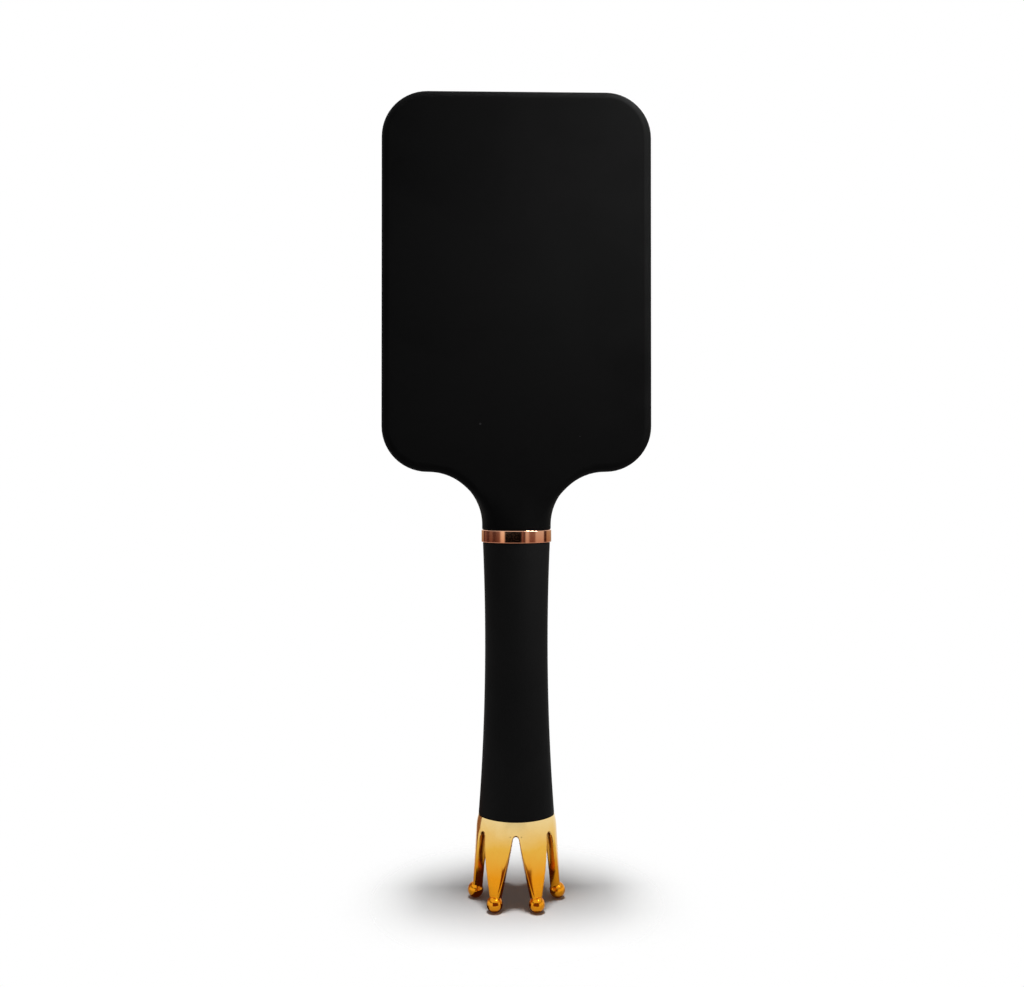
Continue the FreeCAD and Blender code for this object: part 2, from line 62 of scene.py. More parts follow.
HEAD_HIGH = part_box("head_shell")[1]
BAND_LOW, BAND_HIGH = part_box("neck_ring")
GRIP_LOW, GRIP_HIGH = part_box("handle_grip")
BEZEL_LOW, BEZEL_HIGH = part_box("cushion_frame")
CUSHION_LOW, CUSHION_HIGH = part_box("cushion")
PIN_ROWS = sorted(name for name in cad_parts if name.startswith("pin_row_"))
MIDDLE = (CUSHION_LOW.z + CUSHION_HIGH.z) / 2

# How near to a coordinate or a direction counts as on it.
NEAR = 2e-5
FACING = 0.9
# Directions across the paddle, through its depth and up the handle.
ACROSS = Vector((1, 0, 0))
DEPTH = Vector((0, 1, 0))
UP = Vector((0, 0, 1))
# Faces that turn by less than this are one flat.
FLAT = math.radians(1)
# Edges sharper than the first get a small round. Shading breaks at the second, and on pins at the third.
SHARP = math.radians(38)
SMOOTH = math.radians(35)
PIN_SMOOTH = math.radians(50)
# Segments of the rounded edges.
CORNER_SEGMENTS = 14
SWEEP_SEGMENTS = 16
BACK_SEGMENTS = 7
FRONT_SEGMENTS = 4
RECESS_SEGMENTS = 12
DOME_SEGMENTS = 8
VENT_SEGMENTS = 5
RING_SEGMENTS = 4
PADDLE_FINE_SEGMENTS = 2
BEZEL_FINE_SEGMENTS = 3
# The finest edges are rounded by one part in this many of the front edge's radius.
FINE_PART = 3
# Sides of the round pieces.
HANDLE_SIDES = 128
DISC_SIDES = 96
COLLAR_SIDES = 14
PIN_SIDES = 12
BALL_SIDES = 40
BALL_RINGS = 24
# Cuts for shaping: the neck's across, through and along, the cushion's across and along, the grip's along.
NECK_CUTS = (11, 5, 12)
CUSHION_CUTS = (19, 27)
GRIP_CUTS = 44
# Points of the pins' solids that lie closer than this across the paddle belong to one pin.
PIN_GAP = 0.004
# Where a pin's plain shank ends, as a share of its length, and how deep its neck sinks into its ball.
PIN_SHANK = 0.25
NECK_SINK = 0.85
# The rings of a pin's ball, as turns from its middle in degrees.
BALL_TURNS = (-52, -32, -12, 10, 32, 54, 74)
# A collar's lip is one part in this many of the collar's radius.
LIP_PART = 3
# Columns of a prong's wall, its rows beside a notch, and its rows above the notch.
PRONG_COLUMNS = 20
PRONG_ROWS = 18
COLLAR_ROWS = 7
# The rings of a notch's round top, as turns from its widest place in degrees.
ARCH_TURNS = (18, 36, 52, 66, 78, 90)
# At its sides the crown's flare runs into its cone over one part in this many of its wall.
MELT_PART = 5

# The soft-touch coat: its index, pattern scales, share of cells without a speck, speck size and relief.
COAT_IOR = 1.45
COAT_GRAIN = 2600
COAT_MARKS = 34
SPECK_SCALE = 95
SPECK_FEW = 0.8
SPECK_SIZE = 0.035
COAT_DEPTH = 4e-5
COAT_STRENGTH = 0.35
# The plating: pattern scales, how much the haze clouds the tone, and the relief.
HAZE_MARKS = 120
WAVE_GRAIN = 160
CLOUD = 0.2
WAVE_DEPTH = 6e-5
WAVE_STRENGTH = 0.12
# Heights between which the crown's gold deepens as painted shade, and distances from the axis between which
# its inside is painted dark as shade.
GOLD_SHADE_START = 0.026
GOLD_SHADE_FULL = 0.01
HOLLOW_SHADE_CORE = 0.0062
HOLLOW_SHADE_EDGE = 0.0082
# Sockets of a colour mix.
MIX_FIRST = 6
MIX_SECOND = 7
MIX_RESULT = 2
# Shader nodes stand in a row this far apart, and the row starts this many nodes to the left.
NODE_STEP = 220
NODE_ROW = 16

# The floor's radius, and the distances from the axis between which it fades into the background.
FLOOR_RADIUS = 0.6
FADE_START = 0.015
FADE_END = 0.06
# Rays that have met fewer matt surfaces than this see the room as white.
FIRST_BOUNCE = 0.5
# The camera sees nothing that is nearer than this share of its distance.
CLIP_SHARE = 0.02
# Boards near the crown that only reflections show: lowest corner, highest corner and tone.
FLAGS = {
    "studio_front_flag": ((-0.0145, -0.027, 0), (0.0135, -0.026, 0.012), (0.2, 0.06, 0.04)),
    "studio_left_flag": ((-0.036, 0.005, 0), (-0.035, 0.05, 0.03), (0.3, 0.14, 0.08)),
    # Painted shadow: a dark board on the floor under the crown, which only the prongs' reflections show.
    "studio_floor_flag": ((-0.0145, -0.0118, 0), (0.0085, 0.009, 0.0002), (0.05, 0.014, 0.006)),
}
# The card's strips: how far round each lies from the camera's side, in degrees, and its tone.
WHITE_STRIP = (1, 0.95, 0.82)
PALE_STRIP = (0.72, 0.66, 0.6)
WARM_STRIP = (0.5, 0.4, 0.27)
BROWN_STRIP = (0.26, 0.16, 0.13)
RED_STRIP = (0.07, 0.028, 0.022)
BLACK_STRIP = (0.006, 0.006, 0.006)
CARD_STRIPS = (
    (-180, WARM_STRIP), (-124, WARM_STRIP), (-116, RED_STRIP), (-100, BROWN_STRIP), (-90, RED_STRIP),
    (-78, BROWN_STRIP), (-68, RED_STRIP), (-50, BROWN_STRIP), (-44, WHITE_STRIP), (-36, WHITE_STRIP),
    (-33, BLACK_STRIP), (12, BLACK_STRIP), (17, BROWN_STRIP), (23, RED_STRIP), (28, PALE_STRIP),
    (34, PALE_STRIP), (39, BROWN_STRIP), (53, BROWN_STRIP), (59, PALE_STRIP), (84, PALE_STRIP),
    (88, RED_STRIP), (95, RED_STRIP), (99, WARM_STRIP), (180, WARM_STRIP),
)


def length(name, default, description):
    """A length that a user may change."""
    return bpy.props.FloatProperty(name=name, description=description, default=default, unit="LENGTH",
                                   subtype="DISTANCE", precision=5)


def colour(name, default, description):
    """A colour that a user may change."""
    return bpy.props.FloatVectorProperty(name=name, description=description, default=default,
                                         subtype="COLOR", size=3, min=0, max=1)


def turn_angle(name, degrees, description):
    """An angle that a user may change."""
    return bpy.props.FloatProperty(name=name, description=description, default=math.radians(degrees),
                                   subtype="ANGLE", unit="ROTATION")


def lamp_power(name, default, description):
    """A lamp's power that a user may change."""
    return bpy.props.FloatProperty(name=name, description=description, default=default, unit="POWER")


def point(name, default, description):
    """A place that a user may change."""
    return bpy.props.FloatVectorProperty(name=name, description=description, default=default,
                                         subtype="TRANSLATION", unit="LENGTH")


def ratio(name, default, description):
    """A plain number that a user may change."""
    return bpy.props.FloatProperty(name=name, description=description, default=default)


class BrushSizes(bpy.types.PropertyGroup):
    """The brush's own sizes, in metres."""

    paddle_height: length("Paddle height", 0.117, "From the paddle's bottom edge to its top edge")
    paddle_corner: length("Paddle corner", 0.0141, "Radius of the paddle's corners")
    back_depth: length("Back depth", 0.007, "From the handle's axis to the paddle's plain back")
    front_depth: length("Front depth", 0.006, "From the handle's axis to the paddle's front")
    back_round: length("Back round", 0.0028, "Radius of the soft edge round the back")
    front_round: length("Front round", 0.0012, "Radius of the edge round the front")
    neck_width: length("Neck width", 0.0214, "Width of the oval neck")
    neck_depth: length("Neck depth", 0.01605, "Depth of the oval neck")
    neck_end: length("Neck end", 0.005618, "Radius of the oval's narrow ends")
    neck_blend: length("Neck blend", 0.0164, "Radius of the sweep from the neck into the paddle")
    neck_fade: length("Neck fade", 0.0035, "How far below the paddle the neck has become flat")
    recess_width: length("Recess width", 0.071, "Width of the recess for the cushion")
    recess_height: length("Recess height", 0.103, "Height of the recess for the cushion")
    recess_corner: length("Recess corner", 0.011, "Radius of the recess's corners")
    recess_depth: length("Recess depth", 0.005, "Depth of the recess")
    ledge: length("Ledge", 0.005, "Width of the ledge that carries the cushion's flange")
    back_wall: length("Back wall", 0.0026, "Thickness of the wall behind the air chamber")
    bezel_corner: length("Bezel corner", 0.0107, "Radius of the frame's outer corners")
    bezel_bar: length("Bezel bar", 0.004, "Width of the frame's bars")
    flange: length("Flange", 0.0014, "Thickness of the cushion's flange")
    dome_margin: length("Dome margin", 0.0043, "From the flange's edge to the cushion's dome")
    dome_round: length("Dome round", 0.0032, "Radius of the cushion's upper edge")
    dome_draw_in: length("Dome draw-in", 0.002, "How far the dome's sides are drawn in at the top")
    cross_crown: length("Cross crown", 0.19, "Radius of the cushion's crown across the paddle")
    long_crown: length("Long crown", 0.45, "Radius of the cushion's crown along the paddle")
    pin_root: length("Pin root", 0.00075, "Radius of a pin at the cushion")
    pin_neck: length("Pin neck", 0.0006, "Radius of a pin under its ball")
    pin_ball: length("Pin ball", 0.00095, "Radius of a pin's ball tip")
    pin_collar: length("Pin collar", 0.0017, "Radius of the rubber collar round a pin")
    vent: length("Vent", 0.001, "Radius of the cushion's air vent")
    vent_depth: length("Vent depth", 0.003, "How deep the air vent goes")
    band_overhang: length("Band overhang", 0.00015, "How far the band stands proud of the neck")
    band_wall: length("Band wall", 0.0024, "Thickness of the band")
    band_round: length("Band round", 0.0002, "Radius of the band's polished edges")
    grip_waist: length("Grip waist", 0.0195, "Width of the grip at its waist")
    grip_top: length("Grip top", 0.0209, "Width of the grip at the band")
    grip_base: length("Grip base", 0.0235, "Width of the grip at the crown")
    grip_waist_height: length("Waist height", 0.0509, "From the grip's base to its waist")
    grip_round: length("Grip round", 0.0005, "Radius of the grip's end edges")
    crown_height: length("Crown height", 0.0261, "From the floor to the crown's top")
    crown_foot: length("Crown foot", 0.0272, "Width over the prongs at the balls")
    crown_shoulder: length("Crown shoulder", 0.0244, "Width of the crown's cone at its top")
    crown_flare: length("Crown flare", 0.0071, "How far the oval collar flares towards the balls")
    crown_wall: length("Crown wall", 0.003, "Thickness of the crown's prongs")
    crown_turn: turn_angle("Crown turn", -2.5, "How far the prongs are turned on the grip")
    crown_disc: length("Crown disc", 0.0035, "Thickness of the disc under the grip")
    crown_round: length("Crown round", 0.0007, "Radius of the prongs' polished edges")
    crown_melt: length("Crown melt", 0.0028, "How widely the flare and the cone meet in front")
    notch_height: length("Notch height", 0.022, "From the floor to the top of a notch")
    notch_foot: length("Notch foot", 0.0114, "Width of a notch at the balls")
    notch_round: length("Notch round", 0.0014, "Radius of a notch's top")
    ball: length("Ball", 0.00243, "Radius of the crown's ball feet")
    ball_inset: length("Ball inset", 0.0009, "From the prongs' outside to the middle of their balls")
    prongs: bpy.props.IntProperty(name="Prongs", description="Prongs of the crown", default=6, min=3)


class BrushColours(bpy.types.PropertyGroup):
    """The brush's finishes, as linear colours."""

    soft_black: colour("Soft black", (0.0022, 0.0022, 0.0023), "Soft-touch coat of paddle and grip")
    dust: colour("Dust", (0.05, 0.05, 0.052), "Specks that cling to the soft-touch coat")
    # The band's tones run from its top to its foot, and the deepening down it is painted shade.
    rose_gold: colour("Rose gold", (0.79, 0.43, 0.28), "Plating of the band at its top")
    warm_rose: colour("Warm rose", (0.72, 0.34, 0.2), "Plating half way down the band")
    rose_painted_shade: colour("Rose shade", (0.62, 0.25, 0.14), "Plating of the band at its foot")
    # The crown's tones run from its collar to its balls, and the deepening down it is painted shade.
    yellow_gold: colour("Yellow gold", (0.82, 0.61, 0.27), "Plating of the crown at its collar")
    warm_gold: colour("Warm gold", (0.77, 0.43, 0.06), "Plating half way down the crown's prongs")
    gold_painted_shade: colour("Gold shade", (0.77, 0.29, 0.01), "Plating of the crown at its balls")
    # Painted shade: the crown's inside, under its disc, is painted near black.
    crown_hollow_shade: colour("Bare crown", (0.02, 0.012, 0.006), "The crown's inside, where plating thins out")
    floor: colour("Floor", (0.97, 0.97, 0.97), "The studio floor")


class BrushStage(bpy.types.PropertyGroup):
    """The camera and the studio."""

    camera_distance: length("Camera distance", 0.3231, "From the camera to the handle's axis")
    camera_height: length("Camera height", 0.1328, "From the floor to the camera")
    camera_turn: turn_angle("Camera turn", 1.5, "How far round to the left it stands")
    camera_tilt: turn_angle("Camera tilt", -0.38, "How far down it looks")
    camera_lens: bpy.props.FloatProperty(name="Camera lens", description="Focal length on a 36 mm sensor",
                                         default=36.46, unit="CAMERA")
    camera_rise: ratio("Camera rise", -0.03, "Upright shift of the frame")
    camera_side: ratio("Camera side", -0.0043, "Sideways shift of the frame")
    softbox_power: lamp_power("Softbox power", 38, "Power of the light overhead")
    softbox_place: point("Softbox place", (0, -0.01, 2), "Place of the light overhead")
    softbox_width: length("Softbox width", 0.4, "Width of the light overhead")
    softbox_depth: length("Softbox depth", 0.42, "Depth of the light overhead")
    ambient: ratio("Ambient", 0.1, "Strength of the room's even light")
    card_reach: length("Card reach", 0.16, "From the handle's axis to the card that the metal reflects")
    card_low: length("Card foot", 0.07, "Height of that card's lower edge")
    card_high: length("Card head", 0.111, "Height of that card's upper edge")
    key_power: lamp_power("Key power", 0.16, "Power of the light on the right")
    key_width: length("Key width", 0.1, "Width of the lights on the right and on the top edge")
    key_spread: turn_angle("Key spread", 70, "How widely the light on the right fans out")
    key_place: point("Key place", (0.2, -0.15, 0.2), "Place of the light on the right")
    rim_power: lamp_power("Rim power", 0.13, "Power of the light on the paddle's top edge")
    rim_spread: turn_angle("Rim spread", 28, "How widely the light on the top edge fans out")
    rim_place: point("Rim place", (0.14, -0.08, 0.42), "Place of the light on the top edge")


def only(piece):
    """Selects one piece and makes it active."""
    bpy.ops.object.select_all(action="DESELECT")
    piece.select_set(True)
    bpy.context.view_layer.objects.active = piece


def settled(name):
    """Names the active piece and puts its place into its mesh."""
    piece = bpy.context.object
    piece.name = name
    piece.data.name = name
    bpy.ops.object.transform_apply(location=True, rotation=True, scale=True)
    return piece


def add(primitive, name, **settings):
    """A primitive at its size and place, with nothing else selected."""
    bpy.ops.object.select_all(action="DESELECT")
    primitive(**settings)
    return settled(name)


def add_block(name, low, high):
    """A block between two corners."""
    return add(bpy.ops.mesh.primitive_cube_add, name, size=1, location=(low + high) / 2, scale=high - low)


def add_tube(name, radius, base, top, sides, **settings):
    """An upright cylinder on the handle's axis."""
    return add(bpy.ops.mesh.primitive_cylinder_add, name, vertices=sides, radius=radius, depth=top - base,
               location=(0, 0, (base + top) / 2), **settings)


def edit(piece):
    """Opens a piece for editing."""
    only(piece)
    bpy.ops.object.mode_set(mode="EDIT")


def close():
    """Merges doubles, turns the faces outwards and leaves edit mode."""
    bpy.ops.mesh.select_all(action="SELECT")
    bpy.ops.mesh.remove_doubles(threshold=NEAR / 10)
    bpy.ops.mesh.normals_make_consistent(inside=False)
    bpy.ops.object.mode_set(mode="OBJECT")


def choose(kind, test):
    """Selects the vertices, edges or faces that pass a test."""
    bpy.ops.mesh.select_mode(type=kind)
    bpy.ops.mesh.select_all(action="DESELECT")
    mesh = bmesh.from_edit_mesh(bpy.context.edit_object.data)
    parts = {"VERT": mesh.verts, "EDGE": mesh.edges, "FACE": mesh.faces}[kind]
    chosen = [part for part in parts if test(part)]
    if not chosen:
        raise RuntimeError(f"{bpy.context.edit_object.name}: no {kind.lower()} to select")
    for part in chosen:
        part.select_set(True)
    mesh.select_flush_mode()
    bmesh.update_edit_mesh(bpy.context.edit_object.data)


def at(value, place):
    """Whether a coordinate lies at a place."""
    return abs(value - place) < NEAR


def along_depth(edge):
    """Whether an edge runs straight through the paddle's depth."""
    first, second = (vertex.co for vertex in edge.verts)
    return at(first.x, second.x) and at(first.z, second.z)


def upright(edge):
    """Whether an edge runs straight up."""
    first, second = (vertex.co for vertex in edge.verts)
    return at(first.x, second.x) and at(first.y, second.y)


def at_depth(edge, depth):
    """Whether an edge lies at one depth."""
    return all(at(vertex.co.y, depth) for vertex in edge.verts)


def at_height(edge, height):
    """Whether an edge lies at one height."""
    return all(at(vertex.co.z, height) for vertex in edge.verts)


def round_chosen(radius, segments):
    """Rounds the selected edges."""
    bpy.ops.mesh.bevel(offset=radius, offset_type="OFFSET", segments=segments, profile=0.5, affect="EDGES",
                       clamp_overlap=False)


def extrude(*way):
    """Extrudes the selection by some way."""
    bpy.ops.mesh.extrude_region_move(TRANSFORM_OT_translate={"value": way})


def open_rounded_block(name, low, high, radius, segments):
    """A block whose corners are rounded, left open for editing."""
    piece = add_block(name, low, high)
    edit(piece)
    choose("EDGE", along_depth)
    round_chosen(radius, segments)
    return piece


def hollow_out(test, wall):
    """Opens two opposite faces of the mesh and joins the openings, so that a wall is left."""
    choose("FACE", test)
    bpy.ops.mesh.inset(thickness=wall, use_individual=True)
    bpy.ops.mesh.delete(type="ONLY_FACE")
    choose("EDGE", lambda edge: edge.is_boundary)
    bpy.ops.mesh.bridge_edge_loops()


def cut(axis, places):
    """Cuts the whole mesh across an axis at some places, with nothing removed."""
    for place in places:
        bpy.ops.mesh.select_mode(type="VERT")
        bpy.ops.mesh.select_all(action="SELECT")
        bpy.ops.mesh.bisect(plane_co=axis * place, plane_no=axis)


def steps(low, high, count):
    """Evenly spaced values strictly between two others."""
    return [low + (high - low) * (step + 1) / (count + 1) for step in range(count)]


def move_vertices(placed):
    """Moves each vertex of the mesh being edited to the place that a function gives."""
    mesh = bmesh.from_edit_mesh(bpy.context.edit_object.data)
    for vertex in mesh.verts:
        vertex.co = placed(vertex.co)
    bmesh.update_edit_mesh(bpy.context.edit_object.data)


def finish_with(piece, kind, **settings):
    """Adds a modifier to a piece, sets it and applies it."""
    only(piece)
    bpy.ops.object.modifier_add(type=kind)
    modifier = piece.modifiers[-1]
    for name, value in settings.items():
        setattr(modifier, name, value)
    bpy.ops.object.modifier_apply(modifier=modifier.name)


def soften(piece, radius, segments):
    """Rounds a piece's sharp edges."""
    finish_with(piece, "BEVEL", width=radius, segments=segments, limit_method="ANGLE", angle_limit=SHARP,
                harden_normals=False)


def combine(piece, other, operation):
    """Joins another solid to a piece or carves it out, and removes the other."""
    finish_with(piece, "BOOLEAN", object=other, operation=operation, solver="EXACT", use_self=True)
    bpy.data.objects.remove(other)


def smooth(piece, angle=SMOOTH):
    """Smooth shading that breaks at the sharp edges."""
    only(piece)
    bpy.ops.object.shade_smooth_by_angle(angle=angle)


def shade(piece):
    """Smooth shading that also keeps the flats flat."""
    smooth(piece)
    finish_with(piece, "WEIGHTED_NORMAL", keep_sharp=True)


def copied(pattern, place):
    """A copy of a finished shape with its own mesh, moved to a place."""
    piece = pattern.copy()
    piece.data = pattern.data.copy()
    bpy.context.scene.collection.objects.link(piece)
    piece.location = place
    return piece


def joined(pieces, name):
    """Several pieces as one, with their places in its mesh."""
    only(pieces[0])
    for piece in pieces:
        piece.select_set(True)
    bpy.ops.object.join()
    return settled(name)


def hand_over(piece, stands_for, body, material):
    """Gives a finished piece its material and its body, and hides the node that it stands for."""
    piece.data.materials.clear()
    piece.data.materials.append(material)
    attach(piece, body)
    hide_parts(stands_for)


def smoothstep(share):
    """A share between 0 and 1 that starts and ends gently."""
    share = min(max(share, 0), 1)
    return share * share * (3 - 2 * share)


def around(reach, angle, height):
    """A place at some distance from the handle's axis."""
    return Vector((reach * math.cos(angle), reach * math.sin(angle), height))


def oval_arcs(sizes):
    """Radius and place of the oval's ends, then radius and set-back of its broad sides."""
    end = sizes.neck_end
    across = sizes.neck_width / 2 - end
    spare = sizes.neck_depth / 2 - end
    behind = (across ** 2 - spare ** 2) / spare / 2
    return end, across, end + math.hypot(across, behind), behind


def oval_point(sizes, angle, grow):
    """A point on the handle's oval where the outline faces an angle, grown evenly from the neck's."""
    end, across, broad, behind = oval_arcs(sizes)
    facing = math.atan2(abs(math.sin(angle)), abs(math.cos(angle)))
    if facing < math.atan2(behind, across):
        x = across + (end + grow) * math.cos(facing)
        y = (end + grow) * math.sin(facing)
    else:
        x = (broad + grow) * math.cos(facing)
        y = (broad + grow) * math.sin(facing) - behind
    return math.copysign(x, math.cos(angle)), math.copysign(y, math.sin(angle))


def oval_reach(sizes, angle, grow):
    """How far the grown oval lies from the handle's axis in a direction."""
    end, across, broad, behind = oval_arcs(sizes)
    turn = math.atan2(behind, across)
    x = abs(math.cos(angle))
    y = abs(math.sin(angle))
    seam = math.atan2((end + grow) * math.sin(turn), across + (end + grow) * math.cos(turn))
    if math.atan2(y, x) < seam:
        return across * x + math.sqrt((end + grow) ** 2 - (across * y) ** 2)
    return math.sqrt((broad + grow) ** 2 - (behind * x) ** 2) - behind * y


def on_oval(sizes, place, grow):
    """Where a point of a round tube lies once the tube has become the handle's oval."""
    out = math.hypot(place.x, place.y) - sizes.neck_width / 2
    x, y = oval_point(sizes, math.atan2(place.y, place.x), out + grow)
    return Vector((x, y, place.z))


def roll_neck(sizes, base):
    """Rolls the strip under the paddle into an oval, more and more towards the band."""
    neck = sizes.neck_width / 2
    end = BAND_HIGH.z
    fade_top = base - sizes.neck_fade
    across, through, along = NECK_CUTS
    cut(ACROSS, steps(-neck, neck, across))
    cut(DEPTH, steps(-sizes.back_depth, sizes.front_depth, through))
    cut(UP, steps(end, fade_top, along))

    def rolled(place):
        share = smoothstep((fade_top - place.z) / (fade_top - end))
        if share == 0:
            return place
        rise = max(sizes.neck_blend - (base - place.z), 0)
        width = neck + sizes.neck_blend - math.sqrt(sizes.neck_blend ** 2 - rise ** 2)
        depth = sizes.back_depth if place.y < 0 else sizes.front_depth
        angle = math.atan2(place.y / depth, place.x / width)
        target = Vector((width * math.cos(angle), sizes.neck_depth / 2 * math.sin(angle), place.z))
        return place.lerp(target, share)

    move_vertices(rolled)


def hollow_paddle(sizes, piece):
    """Sinks the recess for the cushion into the paddle's front, and the air chamber behind it."""
    hollows = (("recess", 0, sizes.front_depth - sizes.recess_depth),
               ("air_chamber", sizes.ledge, sizes.back_wall - sizes.back_depth))
    for name, inset, floor in hollows:
        reach = Vector((sizes.recess_width / 2 - inset, 0, sizes.recess_height / 2 - inset))
        low = Vector((-reach.x, floor, MIDDLE - reach.z))
        high = Vector((reach.x, sizes.front_depth * 2, MIDDLE + reach.z))
        hollow = open_rounded_block(name, low, high, sizes.recess_corner - inset, RECESS_SEGMENTS)
        close()
        combine(piece, hollow, "DIFFERENCE")


def make_paddle(sizes):
    """The paddle and its neck: a block drawn down to a strip, rounded, rolled into an oval and hollowed."""
    half = HEAD_HIGH.x
    neck = sizes.neck_width / 2
    top = HEAD_HIGH.z
    base = top - sizes.paddle_height
    end = BAND_HIGH.z
    low = Vector((-half, -sizes.back_depth, base))
    piece = add_block("paddle", low, Vector((half, sizes.front_depth, top)))
    edit(piece)
    cut(ACROSS, (-neck, neck))
    choose("FACE", lambda face: face.normal.z < -FACING and abs(face.calc_center_median().x) < neck)
    extrude(0, 0, end - base)
    bpy.ops.mesh.select_all(action="SELECT")
    bpy.ops.mesh.dissolve_limited(angle_limit=FLAT)
    choose("FACE", lambda face: face.normal.z < -FACING and at(face.calc_center_median().z, end))
    bpy.ops.mesh.delete(type="ONLY_FACE")
    choose("EDGE", lambda edge: along_depth(edge) and at(abs(edge.verts[0].co.x), half))
    round_chosen(sizes.paddle_corner, CORNER_SEGMENTS)
    choose("EDGE", lambda edge: along_depth(edge) and at(abs(edge.verts[0].co.x), neck)
           and at(edge.verts[0].co.z, base))
    round_chosen(sizes.neck_blend, SWEEP_SEGMENTS)
    for depth, radius, segments in ((-sizes.back_depth, sizes.back_round, BACK_SEGMENTS),
                                    (sizes.front_depth, sizes.front_round, FRONT_SEGMENTS)):
        choose("EDGE", lambda edge: at_depth(edge, depth) and not edge.is_boundary)
        round_chosen(radius, segments)
    roll_neck(sizes, base)
    choose("EDGE", lambda edge: edge.is_boundary)
    bpy.ops.mesh.edge_face_add()
    close()
    hollow_paddle(sizes, piece)
    soften(piece, sizes.front_round / FINE_PART, PADDLE_FINE_SEGMENTS)
    shade(piece)
    return piece


def make_bezel(sizes):
    """The frame round the cushion: a rounded block opened into four bars."""
    piece = open_rounded_block("cushion_bezel", BEZEL_LOW, BEZEL_HIGH, sizes.bezel_corner, RECESS_SEGMENTS)
    hollow_out(lambda face: abs(face.normal.y) > FACING, sizes.bezel_bar)
    close()
    soften(piece, sizes.front_round / FINE_PART, BEZEL_FINE_SEGMENTS)
    shade(piece)
    return piece


def crown_drop(sizes, across, along):
    """How far the cushion's crown falls away from its middle."""
    swing = sizes.long_crown - sizes.cross_crown + math.sqrt(sizes.cross_crown ** 2 - across ** 2)
    return sizes.long_crown - math.sqrt(swing ** 2 - along ** 2)


def pin_spots():
    """Each row's pins, read from the solids: place across, height, root and tip."""
    spots = {}
    for name in PIN_ROWS:
        low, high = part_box(name)
        height = (low.z + high.z) / 2
        places = sorted((vertex.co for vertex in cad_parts[name].data.vertices), key=lambda co: co.x)
        pins = []
        for place in places:
            if pins and place.x - pins[-1][-1].x < PIN_GAP:
                pins[-1].append(place)
            else:
                pins.append([place])
        spots[name] = []
        for pin in pins:
            depths = [place.y for place in pin]
            spots[name].append(((pin[0].x + pin[-1].x) / 2, height, min(depths), max(depths)))
    return spots


def make_collar(sizes):
    """The low rubber lip round a hole in the cushion, with its hole sunk in the middle."""
    lip = sizes.pin_collar / LIP_PART
    rise = lip / 2
    collar = add(bpy.ops.mesh.primitive_circle_add, "collar", vertices=COLLAR_SIDES, radius=sizes.pin_collar,
                 fill_type="NGON", location=(0, -lip, 0), rotation=(-math.pi / 2, 0, 0))
    edit(collar)
    bpy.ops.mesh.select_all(action="SELECT")
    extrude(0, lip + rise, 0)
    bpy.ops.mesh.inset(thickness=rise)
    bpy.ops.transform.translate(value=(0, rise, 0))
    bpy.ops.mesh.inset(thickness=rise)
    bpy.ops.mesh.inset(thickness=sizes.pin_collar - sizes.pin_root - lip - NEAR)
    bpy.ops.transform.translate(value=(0, -lip, 0))
    close()
    return collar


def make_cushion(sizes):
    """The rubber cushion: a flange, a dome with drawn-in sides and a crown, and a collar at each pin."""
    flange_top = CUSHION_LOW.y + sizes.flange
    top = CUSHION_HIGH.y
    flange_high = Vector((CUSHION_HIGH.x, flange_top, CUSHION_HIGH.z))
    piece = open_rounded_block("pin_cushion", CUSHION_LOW, flange_high, sizes.bezel_corner, RECESS_SEGMENTS)
    choose("FACE", lambda face: face.normal.y > FACING)
    bpy.ops.mesh.inset(thickness=sizes.dome_margin)
    extrude(0, top - flange_top, 0)
    choose("EDGE", lambda edge: at_depth(edge, top))
    round_chosen(sizes.dome_round, DOME_SEGMENTS)
    cuts_across, cuts_along = CUSHION_CUTS
    cut(ACROSS, steps(CUSHION_LOW.x, CUSHION_HIGH.x, cuts_across))
    cut(UP, steps(CUSHION_LOW.z, CUSHION_HIGH.z, cuts_along))
    half = Vector((CUSHION_HIGH.x - sizes.dome_margin, 0, CUSHION_HIGH.z - MIDDLE - sizes.dome_margin))

    def crowned(place):
        share = max(place.y - flange_top, 0) / (top - flange_top)
        along = place.z - MIDDLE
        drop = crown_drop(sizes, place.x, along)
        return Vector((place.x * (1 - share * sizes.dome_draw_in / half.x), place.y - drop * share,
                       MIDDLE + along * (1 - share * sizes.dome_draw_in / half.z)))

    move_vertices(crowned)
    close()
    pattern = make_collar(sizes)
    holes = [(0, MIDDLE)] + [pin[:2] for row in pin_spots().values() for pin in row]
    collars = [copied(pattern, (across, top - crown_drop(sizes, across, height - MIDDLE), height))
               for across, height in holes]
    bpy.data.objects.remove(pattern)
    combine(piece, joined(collars, "collars"), "UNION")
    vent_low = Vector((-sizes.vent, top - sizes.vent_depth, MIDDLE - sizes.vent))
    vent_high = Vector((sizes.vent, top + sizes.vent_depth, MIDDLE + sizes.vent))
    vent = open_rounded_block("vent", vent_low, vent_high, sizes.vent - NEAR, VENT_SEGMENTS)
    close()
    combine(piece, vent, "DIFFERENCE")
    smooth(piece)
    return piece


def make_pin(sizes, reach):
    """One pin, drawn up ring by ring from its root to its ball tip."""
    ball = sizes.pin_ball
    middle = reach - ball
    rings = [(sizes.pin_root, reach * PIN_SHANK), (sizes.pin_neck, middle - ball * NECK_SINK)]
    for turn in BALL_TURNS:
        angle = math.radians(turn)
        rings.append((ball * math.cos(angle), middle + ball * math.sin(angle)))
    pin = add(bpy.ops.mesh.primitive_circle_add, "pin", vertices=PIN_SIDES, radius=sizes.pin_root,
              fill_type="NGON")
    edit(pin)
    bpy.ops.mesh.select_all(action="SELECT")
    last_radius = sizes.pin_root
    last_height = 0
    for radius, height in rings:
        extrude(0, 0, height - last_height)
        bpy.ops.transform.resize(value=(radius / last_radius, radius / last_radius, 1),
                                 center_override=(0, 0, height))
        last_radius = radius
        last_height = height
    close()
    return pin


